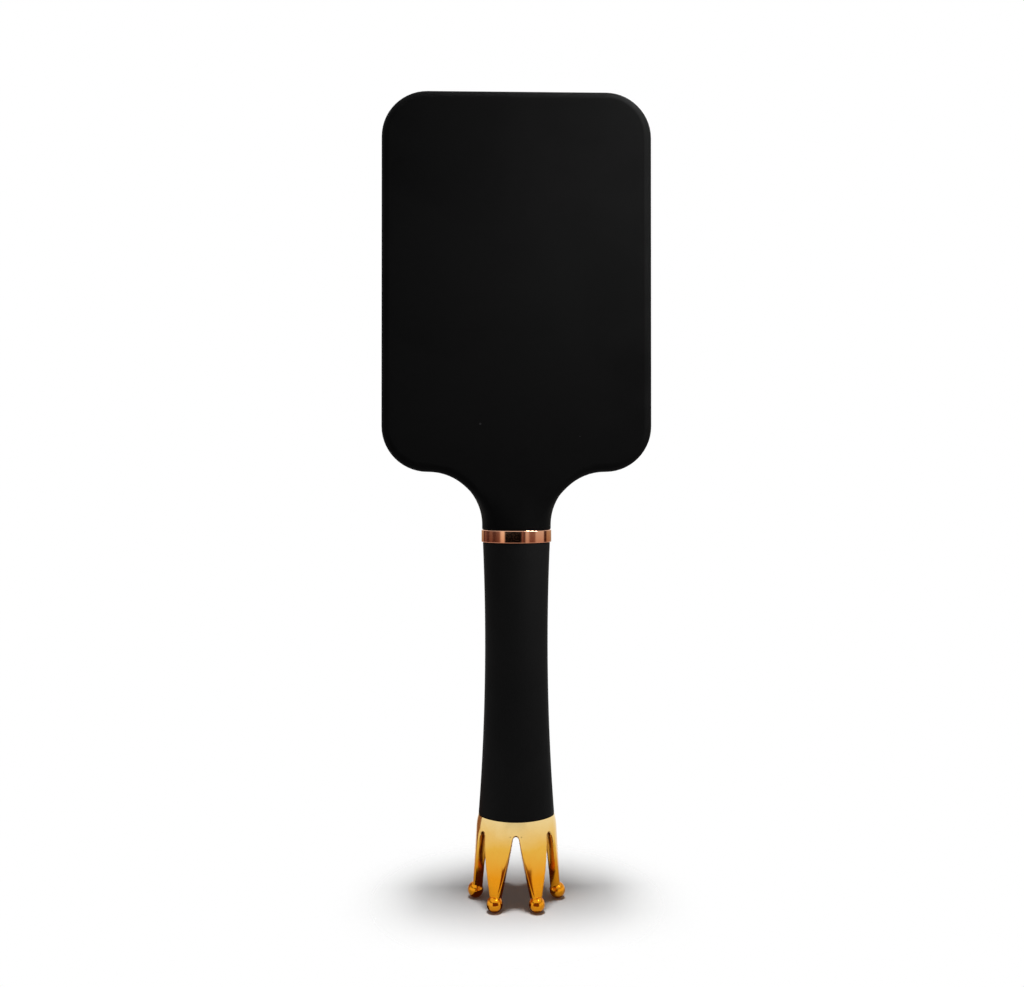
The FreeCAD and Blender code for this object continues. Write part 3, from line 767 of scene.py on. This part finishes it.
def make_pin_rows(sizes):
    """The rows of pins: one pin copied to each place, and each row joined."""
    rows = []
    spots = pin_spots()
    root, tip = spots[PIN_ROWS[0]][0][2:]
    pattern = make_pin(sizes, tip - root)
    for name in PIN_ROWS:
        pins = []
        for across, height, root, tip in spots[name]:
            pin = copied(pattern, (across, root, height))
            pin.rotation_euler.x = -math.pi / 2
            pins.append(pin)
        row = joined(pins, name.replace("pin_row", "pins"))
        edit(row)
        close()
        smooth(row, PIN_SMOOTH)
        rows.append((row, name))
    bpy.data.objects.remove(pattern)
    return rows


def make_band(sizes):
    """The polished band: an oval tube with softened edges."""
    piece = add_tube("neck_band", sizes.neck_width / 2, BAND_LOW.z, BAND_HIGH.z, HANDLE_SIDES)
    edit(piece)
    hollow_out(lambda face: abs(face.normal.z) > FACING, sizes.band_wall)
    move_vertices(lambda place: on_oval(sizes, place, sizes.band_overhang))
    close()
    soften(piece, sizes.band_round, RING_SEGMENTS)
    shade(piece)
    return piece


def make_grip(sizes):
    """The grip: an upright oval drawn in to its waist along one arc."""
    radius = sizes.neck_width / 2
    base = GRIP_LOW.z
    top = GRIP_HIGH.z
    piece = add_tube("grip", radius, base, top, HANDLE_SIDES)
    edit(piece)
    choose("EDGE", upright)
    bpy.ops.mesh.subdivide(number_cuts=GRIP_CUTS)
    choose("EDGE", lambda edge: at_height(edge, base) or at_height(edge, top))
    round_chosen(sizes.grip_round, RING_SEGMENTS)
    waist = base + sizes.grip_waist_height
    swell = sizes.grip_base / 2 - sizes.grip_waist / 2
    top_swell = sizes.grip_top / 2 - sizes.grip_waist / 2
    rise = sizes.grip_waist_height
    fall = top - waist
    curve = (swell / rise + top_swell / fall) / (rise + fall)
    slope = top_swell / fall - curve * fall

    def waisted(place):
        reach = place.z - waist
        return on_oval(sizes, place, sizes.grip_waist / 2 - radius + curve * reach ** 2 + slope * reach)

    move_vertices(waisted)
    close()
    shade(piece)
    return piece


def crown_reach(sizes, angle, height):
    """How far the crown's outside lies from the axis: a flared oval collar, held in by a cone."""
    share = (sizes.crown_height - height) / (sizes.crown_height - sizes.ball)
    grow = (sizes.grip_base - sizes.neck_width) / 2 + sizes.crown_flare * share
    flare = oval_reach(sizes, angle, grow)
    shoulder = sizes.crown_shoulder / 2
    cone = shoulder + (sizes.crown_foot / 2 - shoulder) * share
    melt = sizes.crown_wall / MELT_PART + sizes.crown_melt * math.sin(angle) ** 2
    near = max(melt - abs(flare - cone), 0) / melt
    return min(flare, cone) - melt * near ** 3 / 6


def notch_half(sizes, height):
    """Half the width of a notch at a height."""
    radius = sizes.notch_round
    centre = sizes.notch_height - radius
    half = sizes.notch_foot / 2
    lean = math.atan2(half - radius, centre - sizes.ball)
    tangent = centre + radius * math.sin(lean)
    if height >= tangent:
        return math.sqrt(max(radius ** 2 - (height - centre) ** 2, 0))
    side = radius * math.cos(lean)
    return side + (half - side) * (tangent - height) / (tangent - sizes.ball)


def notch_gap(sizes, across, height):
    """How far a point of the crown's wall lies from the edge of a notch."""
    centre = sizes.notch_height - sizes.notch_round
    if height > centre:
        return max(math.hypot(across, height - centre) - sizes.notch_round, 0)
    return max(across - notch_half(sizes, height), 0)


def edge_dip(radius, gap):
    """How far a rounded edge has fallen away at a distance from it."""
    return radius - math.sqrt(radius ** 2 - max(radius - gap, 0) ** 2)


def prong_angle(sizes, prong):
    """Which way a prong faces."""
    return sizes.crown_turn + math.tau * prong / sizes.prongs


def prong_point(sizes, rows, prong, place):
    """Where a point of the flat wall lies in a prong."""
    foot = sizes.crown_foot / 2
    share = math.pi / sizes.prongs
    height = rows[round((place.y + 0.5) * (len(rows) - 1))]
    half = share - math.asin(notch_half(sizes, height) / foot)
    turn = half * math.sin(math.pi * place.x)
    angle = prong_angle(sizes, prong) + turn
    gap = notch_gap(sizes, foot * math.sin(share - abs(turn)), height)
    reach = crown_reach(sizes, angle, height)
    if place.z > 0.5:
        reach -= edge_dip(sizes.crown_round, gap)
    else:
        reach -= sizes.crown_wall - edge_dip(sizes.crown_round / 2, gap)
    return around(reach, angle, height)


def crown_rows(sizes):
    """The heights of a prong's rows of points, and which of them is the notch's top."""
    centre = sizes.notch_height - sizes.notch_round
    rows = [sizes.ball, *steps(sizes.ball, centre, PRONG_ROWS), centre]
    rows += [centre + sizes.notch_round * math.sin(math.radians(turn)) for turn in ARCH_TURNS]
    arch_top = len(rows) - 1
    rows += [*steps(sizes.notch_height, sizes.crown_height, COLLAR_ROWS), sizes.crown_height]
    return rows, arch_top


def make_flat_wall(last, arch_top):
    """A prong's wall laid flat: a thick grid that is open at its sides above the notch."""
    flat = add(bpy.ops.mesh.primitive_grid_add, "crown_wall", x_subdivisions=PRONG_COLUMNS,
               y_subdivisions=last, size=1)
    edit(flat)
    bpy.ops.mesh.select_all(action="SELECT")
    extrude(0, 0, 1)
    choose("FACE", lambda face: abs(face.normal.x) > FACING
           and face.calc_center_median().y > arch_top / last - 0.5)
    bpy.ops.mesh.delete(type="FACE")
    bpy.ops.object.mode_set(mode="OBJECT")
    return flat


def make_crown_disc(sizes):
    """The disc that closes the crown under the grip."""
    disc = add_tube("crown_disc", sizes.neck_width / 2, sizes.crown_height - sizes.crown_disc,
                    sizes.crown_height - sizes.crown_round, DISC_SIDES)
    edit(disc)

    def seated(place):
        angle = math.atan2(place.y, place.x)
        return around(crown_reach(sizes, angle, place.z) - sizes.crown_wall / 2, angle, place.z)

    move_vertices(seated)
    close()
    return disc


def make_ball_feet(sizes):
    """The ball feet: one ball copied to the end of each prong."""
    pattern = add(bpy.ops.mesh.primitive_uv_sphere_add, "crown_ball", segments=BALL_SIDES,
                  ring_count=BALL_RINGS, radius=sizes.ball)
    reach = sizes.crown_foot / 2 - sizes.ball_inset
    balls = [copied(pattern, around(reach, prong_angle(sizes, prong), sizes.ball))
             for prong in range(sizes.prongs)]
    bpy.data.objects.remove(pattern)
    return joined(balls, "crown_balls")


def make_crown(sizes):
    """The crown: one flat wall made once, bent into each prong, closed by a disc and set on balls."""
    rows, arch_top = crown_rows(sizes)
    flat = make_flat_wall(len(rows) - 1, arch_top)
    walls = []
    for prong in range(sizes.prongs):
        wall = copied(flat, (0, 0, 0))
        edit(wall)
        move_vertices(lambda place: prong_point(sizes, rows, prong, place))
        bpy.ops.object.mode_set(mode="OBJECT")
        walls.append(wall)
    bpy.data.objects.remove(flat)
    piece = joined(walls, "crown_stand")
    edit(piece)
    close()
    combine(piece, make_crown_disc(sizes), "UNION")
    combine(piece, make_ball_feet(sizes), "UNION")
    smooth(piece)
    return piece


def feed(tree, value, entry):
    """Sets a socket to a value, or links another node's output to it."""
    if isinstance(value, bpy.types.NodeSocket):
        tree.links.new(value, entry)
    else:
        entry.default_value = value


def node(tree, kind, **values):
    """A shader node with its settings, and its sockets set or linked."""
    made = tree.nodes.new(kind)
    made.location.x = NODE_STEP * (len(tree.nodes) - NODE_ROW)
    for name, value in values.items():
        entry = made.inputs.get(name.replace("_", " "))
        if entry is None:
            setattr(made, name, value)
        else:
            feed(tree, value, entry)
    return made


def maths(tree, operation, first, second, **settings):
    """The result of a maths node."""
    made = node(tree, "ShaderNodeMath", operation=operation, **settings)
    feed(tree, first, made.inputs[0])
    feed(tree, second, made.inputs[1])
    return made.outputs["Value"]


def mapped(tree, value, **settings):
    """A value brought from one range to another."""
    return node(tree, "ShaderNodeMapRange", Value=value, **settings).outputs["Result"]


def distance_out(tree, place):
    """How far a place lies from the origin."""
    return node(tree, "ShaderNodeVectorMath", operation="LENGTH", Vector=place).outputs["Value"]


def mixed_colour(tree, mask, first, second):
    """Two colours mixed by a mask."""
    made = node(tree, "ShaderNodeMix", data_type="RGBA", Factor=mask)
    feed(tree, first, made.inputs[MIX_FIRST])
    feed(tree, second, made.inputs[MIX_SECOND])
    return made.outputs[MIX_RESULT]


def tone_ramp(tree, share, stops):
    """A colour that runs through some tones."""
    made = node(tree, "ShaderNodeValToRGB", Fac=share)
    elements = made.color_ramp.elements
    while len(elements) < len(stops):
        elements.new(1)
    for element, (position, tone) in zip(elements, stops):
        element.position = position
        element.color = (*tone, 1)
    return made.outputs["Color"]


def new_group(name, entries, exits):
    """A shader node group that takes coordinates and named values, and what it is given."""
    tree = bpy.data.node_groups.new(name, "ShaderNodeTree")
    tree.interface.new_socket(name="Coordinates", in_out="INPUT", socket_type="NodeSocketVector")
    for title in entries:
        tree.interface.new_socket(name=title, in_out="INPUT", socket_type="NodeSocketFloat")
    for title in exits:
        tree.interface.new_socket(name=title, in_out="OUTPUT", socket_type="NodeSocketFloat")
    return tree, node(tree, "NodeGroupInput").outputs


def grain_group(name="moulded_grain"):
    """Fine moulded grain and broad handling marks, as a group that is made once."""
    if name in bpy.data.node_groups:
        return bpy.data.node_groups[name]
    tree, given = new_group(name, ["Grain Scale", "Mark Scale", "Smooth", "Rough"],
                            ["Height", "Roughness", "Marks"])
    grain = node(tree, "ShaderNodeTexNoise", Vector=given["Coordinates"], Scale=given["Grain Scale"],
                 Detail=4, Roughness=0.6)
    marks = node(tree, "ShaderNodeTexNoise", Vector=given["Coordinates"], Scale=given["Mark Scale"],
                 Detail=5, Roughness=0.62, Distortion=0.6)
    spread = mapped(tree, marks.outputs["Fac"], From_Min=0.32, From_Max=0.7, To_Min=given["Smooth"],
                    To_Max=given["Rough"])
    node(tree, "NodeGroupOutput", Height=grain.outputs["Fac"], Roughness=spread, Marks=marks.outputs["Fac"])
    return tree


def speck_group(name="clinging_specks"):
    """Sparse specks of dust and lint, as a group that is made once."""
    if name in bpy.data.node_groups:
        return bpy.data.node_groups[name]
    tree, given = new_group(name, ["Scale", "Size"], ["Mask"])
    cells = node(tree, "ShaderNodeTexVoronoi", feature="F1", Vector=given["Coordinates"],
                 Scale=given["Scale"])
    split = node(tree, "ShaderNodeSeparateColor", Color=cells.outputs["Color"])
    few = maths(tree, "GREATER_THAN", split.outputs["Red"], SPECK_FEW)
    inside = maths(tree, "LESS_THAN", cells.outputs["Distance"], given["Size"])
    node(tree, "NodeGroupOutput", Mask=maths(tree, "MULTIPLY", inside, few))
    return tree


def new_material(name, **values):
    """A material with a principled surface whose plain values sit on its own sockets."""
    material = bpy.data.materials.new(name)
    material.use_nodes = True
    tree = material.node_tree
    surface = tree.nodes["Principled BSDF"].inputs
    for title, value in values.items():
        surface[title.replace("_", " ")].default_value = value
    return material, tree, surface, node(tree, "ShaderNodeTexCoord").outputs["Object"]


def dress(tree, surface, tone, rough, height, depth, strength):
    """Gives a surface its tone, its roughness and its relief."""
    relief = node(tree, "ShaderNodeBump", Strength=strength, Distance=depth, Height=height)
    feed(tree, tone, surface["Base Color"])
    feed(tree, rough, surface["Roughness"])
    feed(tree, relief.outputs["Normal"], surface["Normal"])


def soft_touch(name, base, dust, smooth_share, rough_share, gloss):
    """Black moulding under a soft-touch coat, with faint handling marks and clinging specks."""
    material, tree, surface, place = new_material(name, Specular_IOR_Level=gloss, IOR=COAT_IOR)
    marks = node(tree, "ShaderNodeGroup", node_tree=grain_group(), Coordinates=place, Grain_Scale=COAT_GRAIN,
                 Mark_Scale=COAT_MARKS, Smooth=smooth_share, Rough=rough_share).outputs
    specks = node(tree, "ShaderNodeGroup", node_tree=speck_group(), Coordinates=place, Scale=SPECK_SCALE,
                  Size=SPECK_SIZE).outputs
    tone = mixed_colour(tree, specks["Mask"], (*base, 1), (*dust, 1))
    dress(tree, surface, tone, marks["Roughness"], marks["Height"], COAT_DEPTH, COAT_STRENGTH)
    return material


def hollow_shaded(tree, tone, place, hollow_shade):
    """Painted shade in the crown's hollow: the tone darkens towards the axis, down to a near-black tone."""
    level = node(tree, "ShaderNodeVectorMath", operation="MULTIPLY", Vector=place)
    level.inputs[1].default_value = (1, 1, 0)
    # Near the axis the tone goes to the near-black painted shade.
    hollow_lit_share = mapped(tree, distance_out(tree, level.outputs["Vector"]), From_Min=HOLLOW_SHADE_CORE,
                   From_Max=HOLLOW_SHADE_EDGE)
    return mixed_colour(tree, hollow_lit_share, (*hollow_shade, 1), tone)


def plated(name, tones, smooth_share, rough_share, shade_start, shade_full, hollow_shade=None):
    """Polished plating whose tone deepens down its height as painted shade, with fine hazing and a slight
    waviness.
    """
    material, tree, surface, place = new_material(name, Metallic=1)
    marks = node(tree, "ShaderNodeGroup", node_tree=grain_group(), Coordinates=place, Mark_Scale=HAZE_MARKS,
                 Smooth=smooth_share, Rough=rough_share).outputs
    waves = node(tree, "ShaderNodeGroup", node_tree=grain_group(), Coordinates=place,
                 Grain_Scale=WAVE_GRAIN).outputs
    height = node(tree, "ShaderNodeSeparateXYZ", Vector=place).outputs["Z"]
    # The tone deepens from the first tone at the top to the last at the bottom: painted shade, with random
    # haze on it.
    fall = mapped(tree, height, From_Min=shade_start, From_Max=shade_full)
    cloud = mapped(tree, marks["Marks"], To_Min=-CLOUD, To_Max=CLOUD)
    painted_shade_and_haze = maths(tree, "ADD", fall, cloud, use_clamp=True)
    tone = tone_ramp(tree, painted_shade_and_haze, [(step / (len(tones) - 1), tone) for step, tone in enumerate(tones)])
    if hollow_shade is not None:
        tone = hollow_shaded(tree, tone, place, hollow_shade)
    dress(tree, surface, tone, marks["Roughness"], waves["Height"], WAVE_DEPTH, WAVE_STRENGTH)
    return material


def paddle_coat(colours):
    """The paddle's coat, the most matt one."""
    return soft_touch("paddle_soft_black", colours.soft_black, colours.dust, smooth_share=0.66,
                      rough_share=0.8, gloss=0.045)


def grip_coat(colours):
    """The grip's coat, polished a little by the hand."""
    return soft_touch("grip_soft_black", colours.soft_black, colours.dust, smooth_share=0.6,
                      rough_share=0.74, gloss=0.095)


def bezel_plastic(colours):
    """The frame's satin plastic."""
    return soft_touch("bezel_black", colours.soft_black, colours.dust, smooth_share=0.36, rough_share=0.5,
                      gloss=0.25)


def solid_finish(name):
    """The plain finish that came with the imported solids."""
    return bpy.data.materials[name]


def band_plating(colours):
    """The band's rose gold, darker towards its foot as painted shade."""
    tones = (colours.rose_gold, colours.warm_rose, colours.rose_painted_shade)
    return plated("band_rose_gold", tones, 0.05, 0.12, BAND_HIGH.z, BAND_LOW.z)


def crown_plating(colours):
    """The crown's yellow gold, darker towards the balls as painted shade, and painted dark inside as shade.
    """
    tones = (colours.yellow_gold, colours.warm_gold, colours.gold_painted_shade)
    return plated("crown_yellow_gold", tones, 0.1, 0.2, GOLD_SHADE_START, GOLD_SHADE_FULL, colours.crown_hollow_shade)


class BrushOperator:
    """What the brush's operators share."""

    bl_options = {"REGISTER", "UNDO"}


class BRUSH_OT_paddle(BrushOperator, bpy.types.Operator):
    """Models the paddle with its neck"""

    bl_idname = "brush.paddle"
    bl_label = "Paddle"

    def execute(self, context):
        piece = make_paddle(context.scene.brush_sizes)
        hand_over(piece, "head_shell", "head", paddle_coat(context.scene.brush_colours))
        return {"FINISHED"}


class BRUSH_OT_bezel(BrushOperator, bpy.types.Operator):
    """Models the frame that holds the cushion"""

    bl_idname = "brush.bezel"
    bl_label = "Cushion frame"

    def execute(self, context):
        piece = make_bezel(context.scene.brush_sizes)
        hand_over(piece, "cushion_frame", "head", bezel_plastic(context.scene.brush_colours))
        return {"FINISHED"}


class BRUSH_OT_cushion(BrushOperator, bpy.types.Operator):
    """Models the rubber cushion"""

    bl_idname = "brush.cushion"
    bl_label = "Cushion"

    def execute(self, context):
        sizes = context.scene.brush_sizes
        piece = make_cushion(sizes)
        hand_over(piece, "cushion", "head", solid_finish("cushion_rubber"))
        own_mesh(piece)
        return {"FINISHED"}


class BRUSH_OT_pins(BrushOperator, bpy.types.Operator):
    """Models the rows of ball-tipped pins"""

    bl_idname = "brush.pins"
    bl_label = "Pins"

    def execute(self, context):
        material = solid_finish("pin_nylon")
        for piece, name in make_pin_rows(context.scene.brush_sizes):
            hand_over(piece, name, "pin_field", material)
        return {"FINISHED"}


class BRUSH_OT_band(BrushOperator, bpy.types.Operator):
    """Models the polished band under the neck"""

    bl_idname = "brush.band"
    bl_label = "Band"

    def execute(self, context):
        piece = make_band(context.scene.brush_sizes)
        hand_over(piece, "neck_ring", "head", band_plating(context.scene.brush_colours))
        return {"FINISHED"}


class BRUSH_OT_grip(BrushOperator, bpy.types.Operator):
    """Models the waisted grip"""

    bl_idname = "brush.grip"
    bl_label = "Grip"

    def execute(self, context):
        piece = make_grip(context.scene.brush_sizes)
        hand_over(piece, "handle_grip", "head", grip_coat(context.scene.brush_colours))
        return {"FINISHED"}


class BRUSH_OT_crown(BrushOperator, bpy.types.Operator):
    """Models the crown that the brush stands on"""

    bl_idname = "brush.crown"
    bl_label = "Crown"

    def execute(self, context):
        piece = make_crown(context.scene.brush_sizes)
        hand_over(piece, "crown", "head", crown_plating(context.scene.brush_colours))
        return {"FINISHED"}


def bare_tree(piece):
    """An empty material on a piece of the studio, as its node tree."""
    material = bpy.data.materials.new(piece.name)
    material.use_nodes = True
    material.node_tree.nodes.clear()
    piece.data.materials.append(material)
    return material.node_tree


def shine(tree, tone):
    """Makes a piece of the studio shine in a tone."""
    light = node(tree, "ShaderNodeEmission", Color=tone)
    node(tree, "ShaderNodeOutputMaterial", Surface=light.outputs["Emission"])


def show_only_reflected(piece):
    """Hides a piece of the studio from everything except reflections."""
    piece.visible_camera = False
    piece.visible_diffuse = False
    piece.visible_shadow = False


def make_floor(colours):
    """A pale floor that keeps the shadow and fades into the white background."""
    floor = add(bpy.ops.mesh.primitive_circle_add, "studio_floor", vertices=DISC_SIDES, radius=FLOOR_RADIUS,
                fill_type="NGON")
    tree = bare_tree(floor)
    place = node(tree, "ShaderNodeTexCoord").outputs["Object"]
    fade = mapped(tree, distance_out(tree, place), interpolation_type="SMOOTHSTEP", From_Min=FADE_START,
                  From_Max=FADE_END)
    side = node(tree, "ShaderNodeNewGeometry").outputs["Backfacing"]
    pale = node(tree, "ShaderNodeBsdfDiffuse", Color=(*colours.floor, 1))
    clear = node(tree, "ShaderNodeBsdfTransparent")
    mix = node(tree, "ShaderNodeMixShader", Fac=maths(tree, "MAXIMUM", fade, side))
    feed(tree, pale.outputs["BSDF"], mix.inputs[1])
    feed(tree, clear.outputs["BSDF"], mix.inputs[2])
    node(tree, "ShaderNodeOutputMaterial", Surface=mix.outputs["Shader"])


def make_card(stage):
    """A ring of toned strips round the band that only reflections show."""
    card = add_tube("studio_card", stage.card_reach, stage.card_low, stage.card_high, DISC_SIDES,
                    end_fill_type="NOTHING")
    tree = bare_tree(card)
    place = node(tree, "ShaderNodeTexCoord").outputs["Object"]
    split = node(tree, "ShaderNodeSeparateXYZ", Vector=place).outputs
    towards = maths(tree, "MULTIPLY", split["Y"], -1)
    round_from = maths(tree, "ARCTAN2", split["X"], towards)
    share = mapped(tree, round_from, From_Min=-math.pi, From_Max=math.pi)
    tone = tone_ramp(tree, share, [(degrees / 360 + 0.5, tone) for degrees, tone in CARD_STRIPS])
    shine(tree, tone)
    show_only_reflected(card)


def make_flag(name, low, high, tone):
    """A dark board near the crown that only reflections show."""
    flag = add_block(name, Vector(low), Vector(high))
    shine(bare_tree(flag), (*tone, 1))
    show_only_reflected(flag)


def make_world(stage):
    """A white room: white to the eye and in reflections, and softer as light."""
    world = bpy.data.worlds.new("studio_room")
    bpy.context.scene.world = world
    world.use_nodes = True
    tree = world.node_tree
    room = tree.nodes["Background"].inputs
    room["Color"].default_value = (1, 1, 1, 1)
    rays = node(tree, "ShaderNodeLightPath").outputs
    seen = maths(tree, "MAXIMUM", rays["Is Camera Ray"], rays["Is Glossy Ray"])
    seen = maths(tree, "MAXIMUM", seen, rays["Is Transmission Ray"])
    direct = maths(tree, "LESS_THAN", rays["Diffuse Depth"], FIRST_BOUNCE)
    shown = maths(tree, "MULTIPLY", seen, direct)
    feed(tree, mapped(tree, shown, To_Min=stage.ambient, To_Max=1), room["Strength"])


def make_light(name, place, target, watts, width, depth):
    """A lamp that faces a place."""
    place = Vector(place)
    turn = (Vector(target) - place).to_track_quat("-Z", "Y").to_euler()
    bpy.ops.object.light_add(type="AREA", location=place, rotation=turn)
    lamp = bpy.context.object
    lamp.name = name
    lamp.data.energy = watts
    lamp.data.shape = "RECTANGLE"
    lamp.data.size = width
    lamp.data.size_y = depth
    return lamp


def make_sheen_light(name, place, target, watts, width, spread):
    """A small lamp for sheen alone, with its own spread, that lights no matt surface."""
    lamp = make_light(name, place, target, watts, width, width)
    lamp.data.spread = spread
    lamp.visible_diffuse = False


def make_camera(stage):
    """The camera, level with the paddle and close, a little to the left."""
    turn = stage.camera_turn
    distance = stage.camera_distance
    place = (-distance * math.sin(turn), -distance * math.cos(turn), stage.camera_height)
    bpy.ops.object.camera_add(location=place, rotation=(math.pi / 2 - stage.camera_tilt, 0, -turn))
    camera = bpy.context.object
    camera.name = "studio_camera"
    camera.data.lens = stage.camera_lens
    camera.data.shift_x = stage.camera_side
    camera.data.shift_y = stage.camera_rise
    camera.data.clip_start = distance * CLIP_SHARE
    bpy.context.scene.camera = camera


class BRUSH_OT_stage(BrushOperator, bpy.types.Operator):
    """Sets up the floor, the lights and the camera"""

    bl_idname = "brush.stage"
    bl_label = "Studio"

    def execute(self, context):
        stage = context.scene.brush_stage
        make_camera(stage)
        make_floor(context.scene.brush_colours)
        make_card(stage)
        for name, (low, high, tone) in FLAGS.items():
            make_flag(name, low, high, tone)
        make_world(stage)
        softbox = make_light("studio_softbox", stage.softbox_place, (0, 0, 0), stage.softbox_power,
                             stage.softbox_width, stage.softbox_depth)
        softbox.visible_glossy = False
        make_sheen_light("studio_key", stage.key_place, (0, 0, MIDDLE), stage.key_power, stage.key_width,
                         stage.key_spread)
        make_sheen_light("studio_rim", stage.rim_place, (HEAD_HIGH.x, 0, HEAD_HIGH.z), stage.rim_power,
                         stage.key_width, stage.rim_spread)
        context.scene.view_settings.view_transform = "Standard"
        return {"FINISHED"}


OPERATORS = (BRUSH_OT_stage, BRUSH_OT_paddle, BRUSH_OT_bezel, BRUSH_OT_cushion, BRUSH_OT_pins, BRUSH_OT_band,
             BRUSH_OT_grip, BRUSH_OT_crown)
GROUPS = {"brush_sizes": BrushSizes, "brush_colours": BrushColours, "brush_stage": BrushStage}


class VIEW3D_PT_brush(bpy.types.Panel):
    """Lists the brush's pieces"""

    bl_label = "Brush"
    bl_space_type = "VIEW_3D"
    bl_region_type = "UI"
    bl_category = "Brush"

    def draw(self, context):
        for operator in OPERATORS:
            self.layout.operator(operator.bl_idname)


def register():
    """Makes the settings, the operators and the panel known."""
    for name, group in GROUPS.items():
        bpy.utils.register_class(group)
        setattr(bpy.types.Scene, name, bpy.props.PointerProperty(type=group))
    for operator in OPERATORS:
        bpy.utils.register_class(operator)
    bpy.utils.register_class(VIEW3D_PT_brush)


def unregister():
    """Takes them away again."""
    bpy.utils.unregister_class(VIEW3D_PT_brush)
    for operator in reversed(OPERATORS):
        bpy.utils.unregister_class(operator)
    for name, group in reversed(GROUPS.items()):
        delattr(bpy.types.Scene, name)
        bpy.utils.unregister_class(group)


def main():
    """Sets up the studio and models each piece."""
    register()
    bpy.ops.brush.stage()
    bpy.ops.brush.paddle()
    bpy.ops.brush.bezel()
    bpy.ops.brush.cushion()
    bpy.ops.brush.pins()
    bpy.ops.brush.band()
    bpy.ops.brush.grip()
    bpy.ops.brush.crown()


if __name__ == "__main__":
    main()
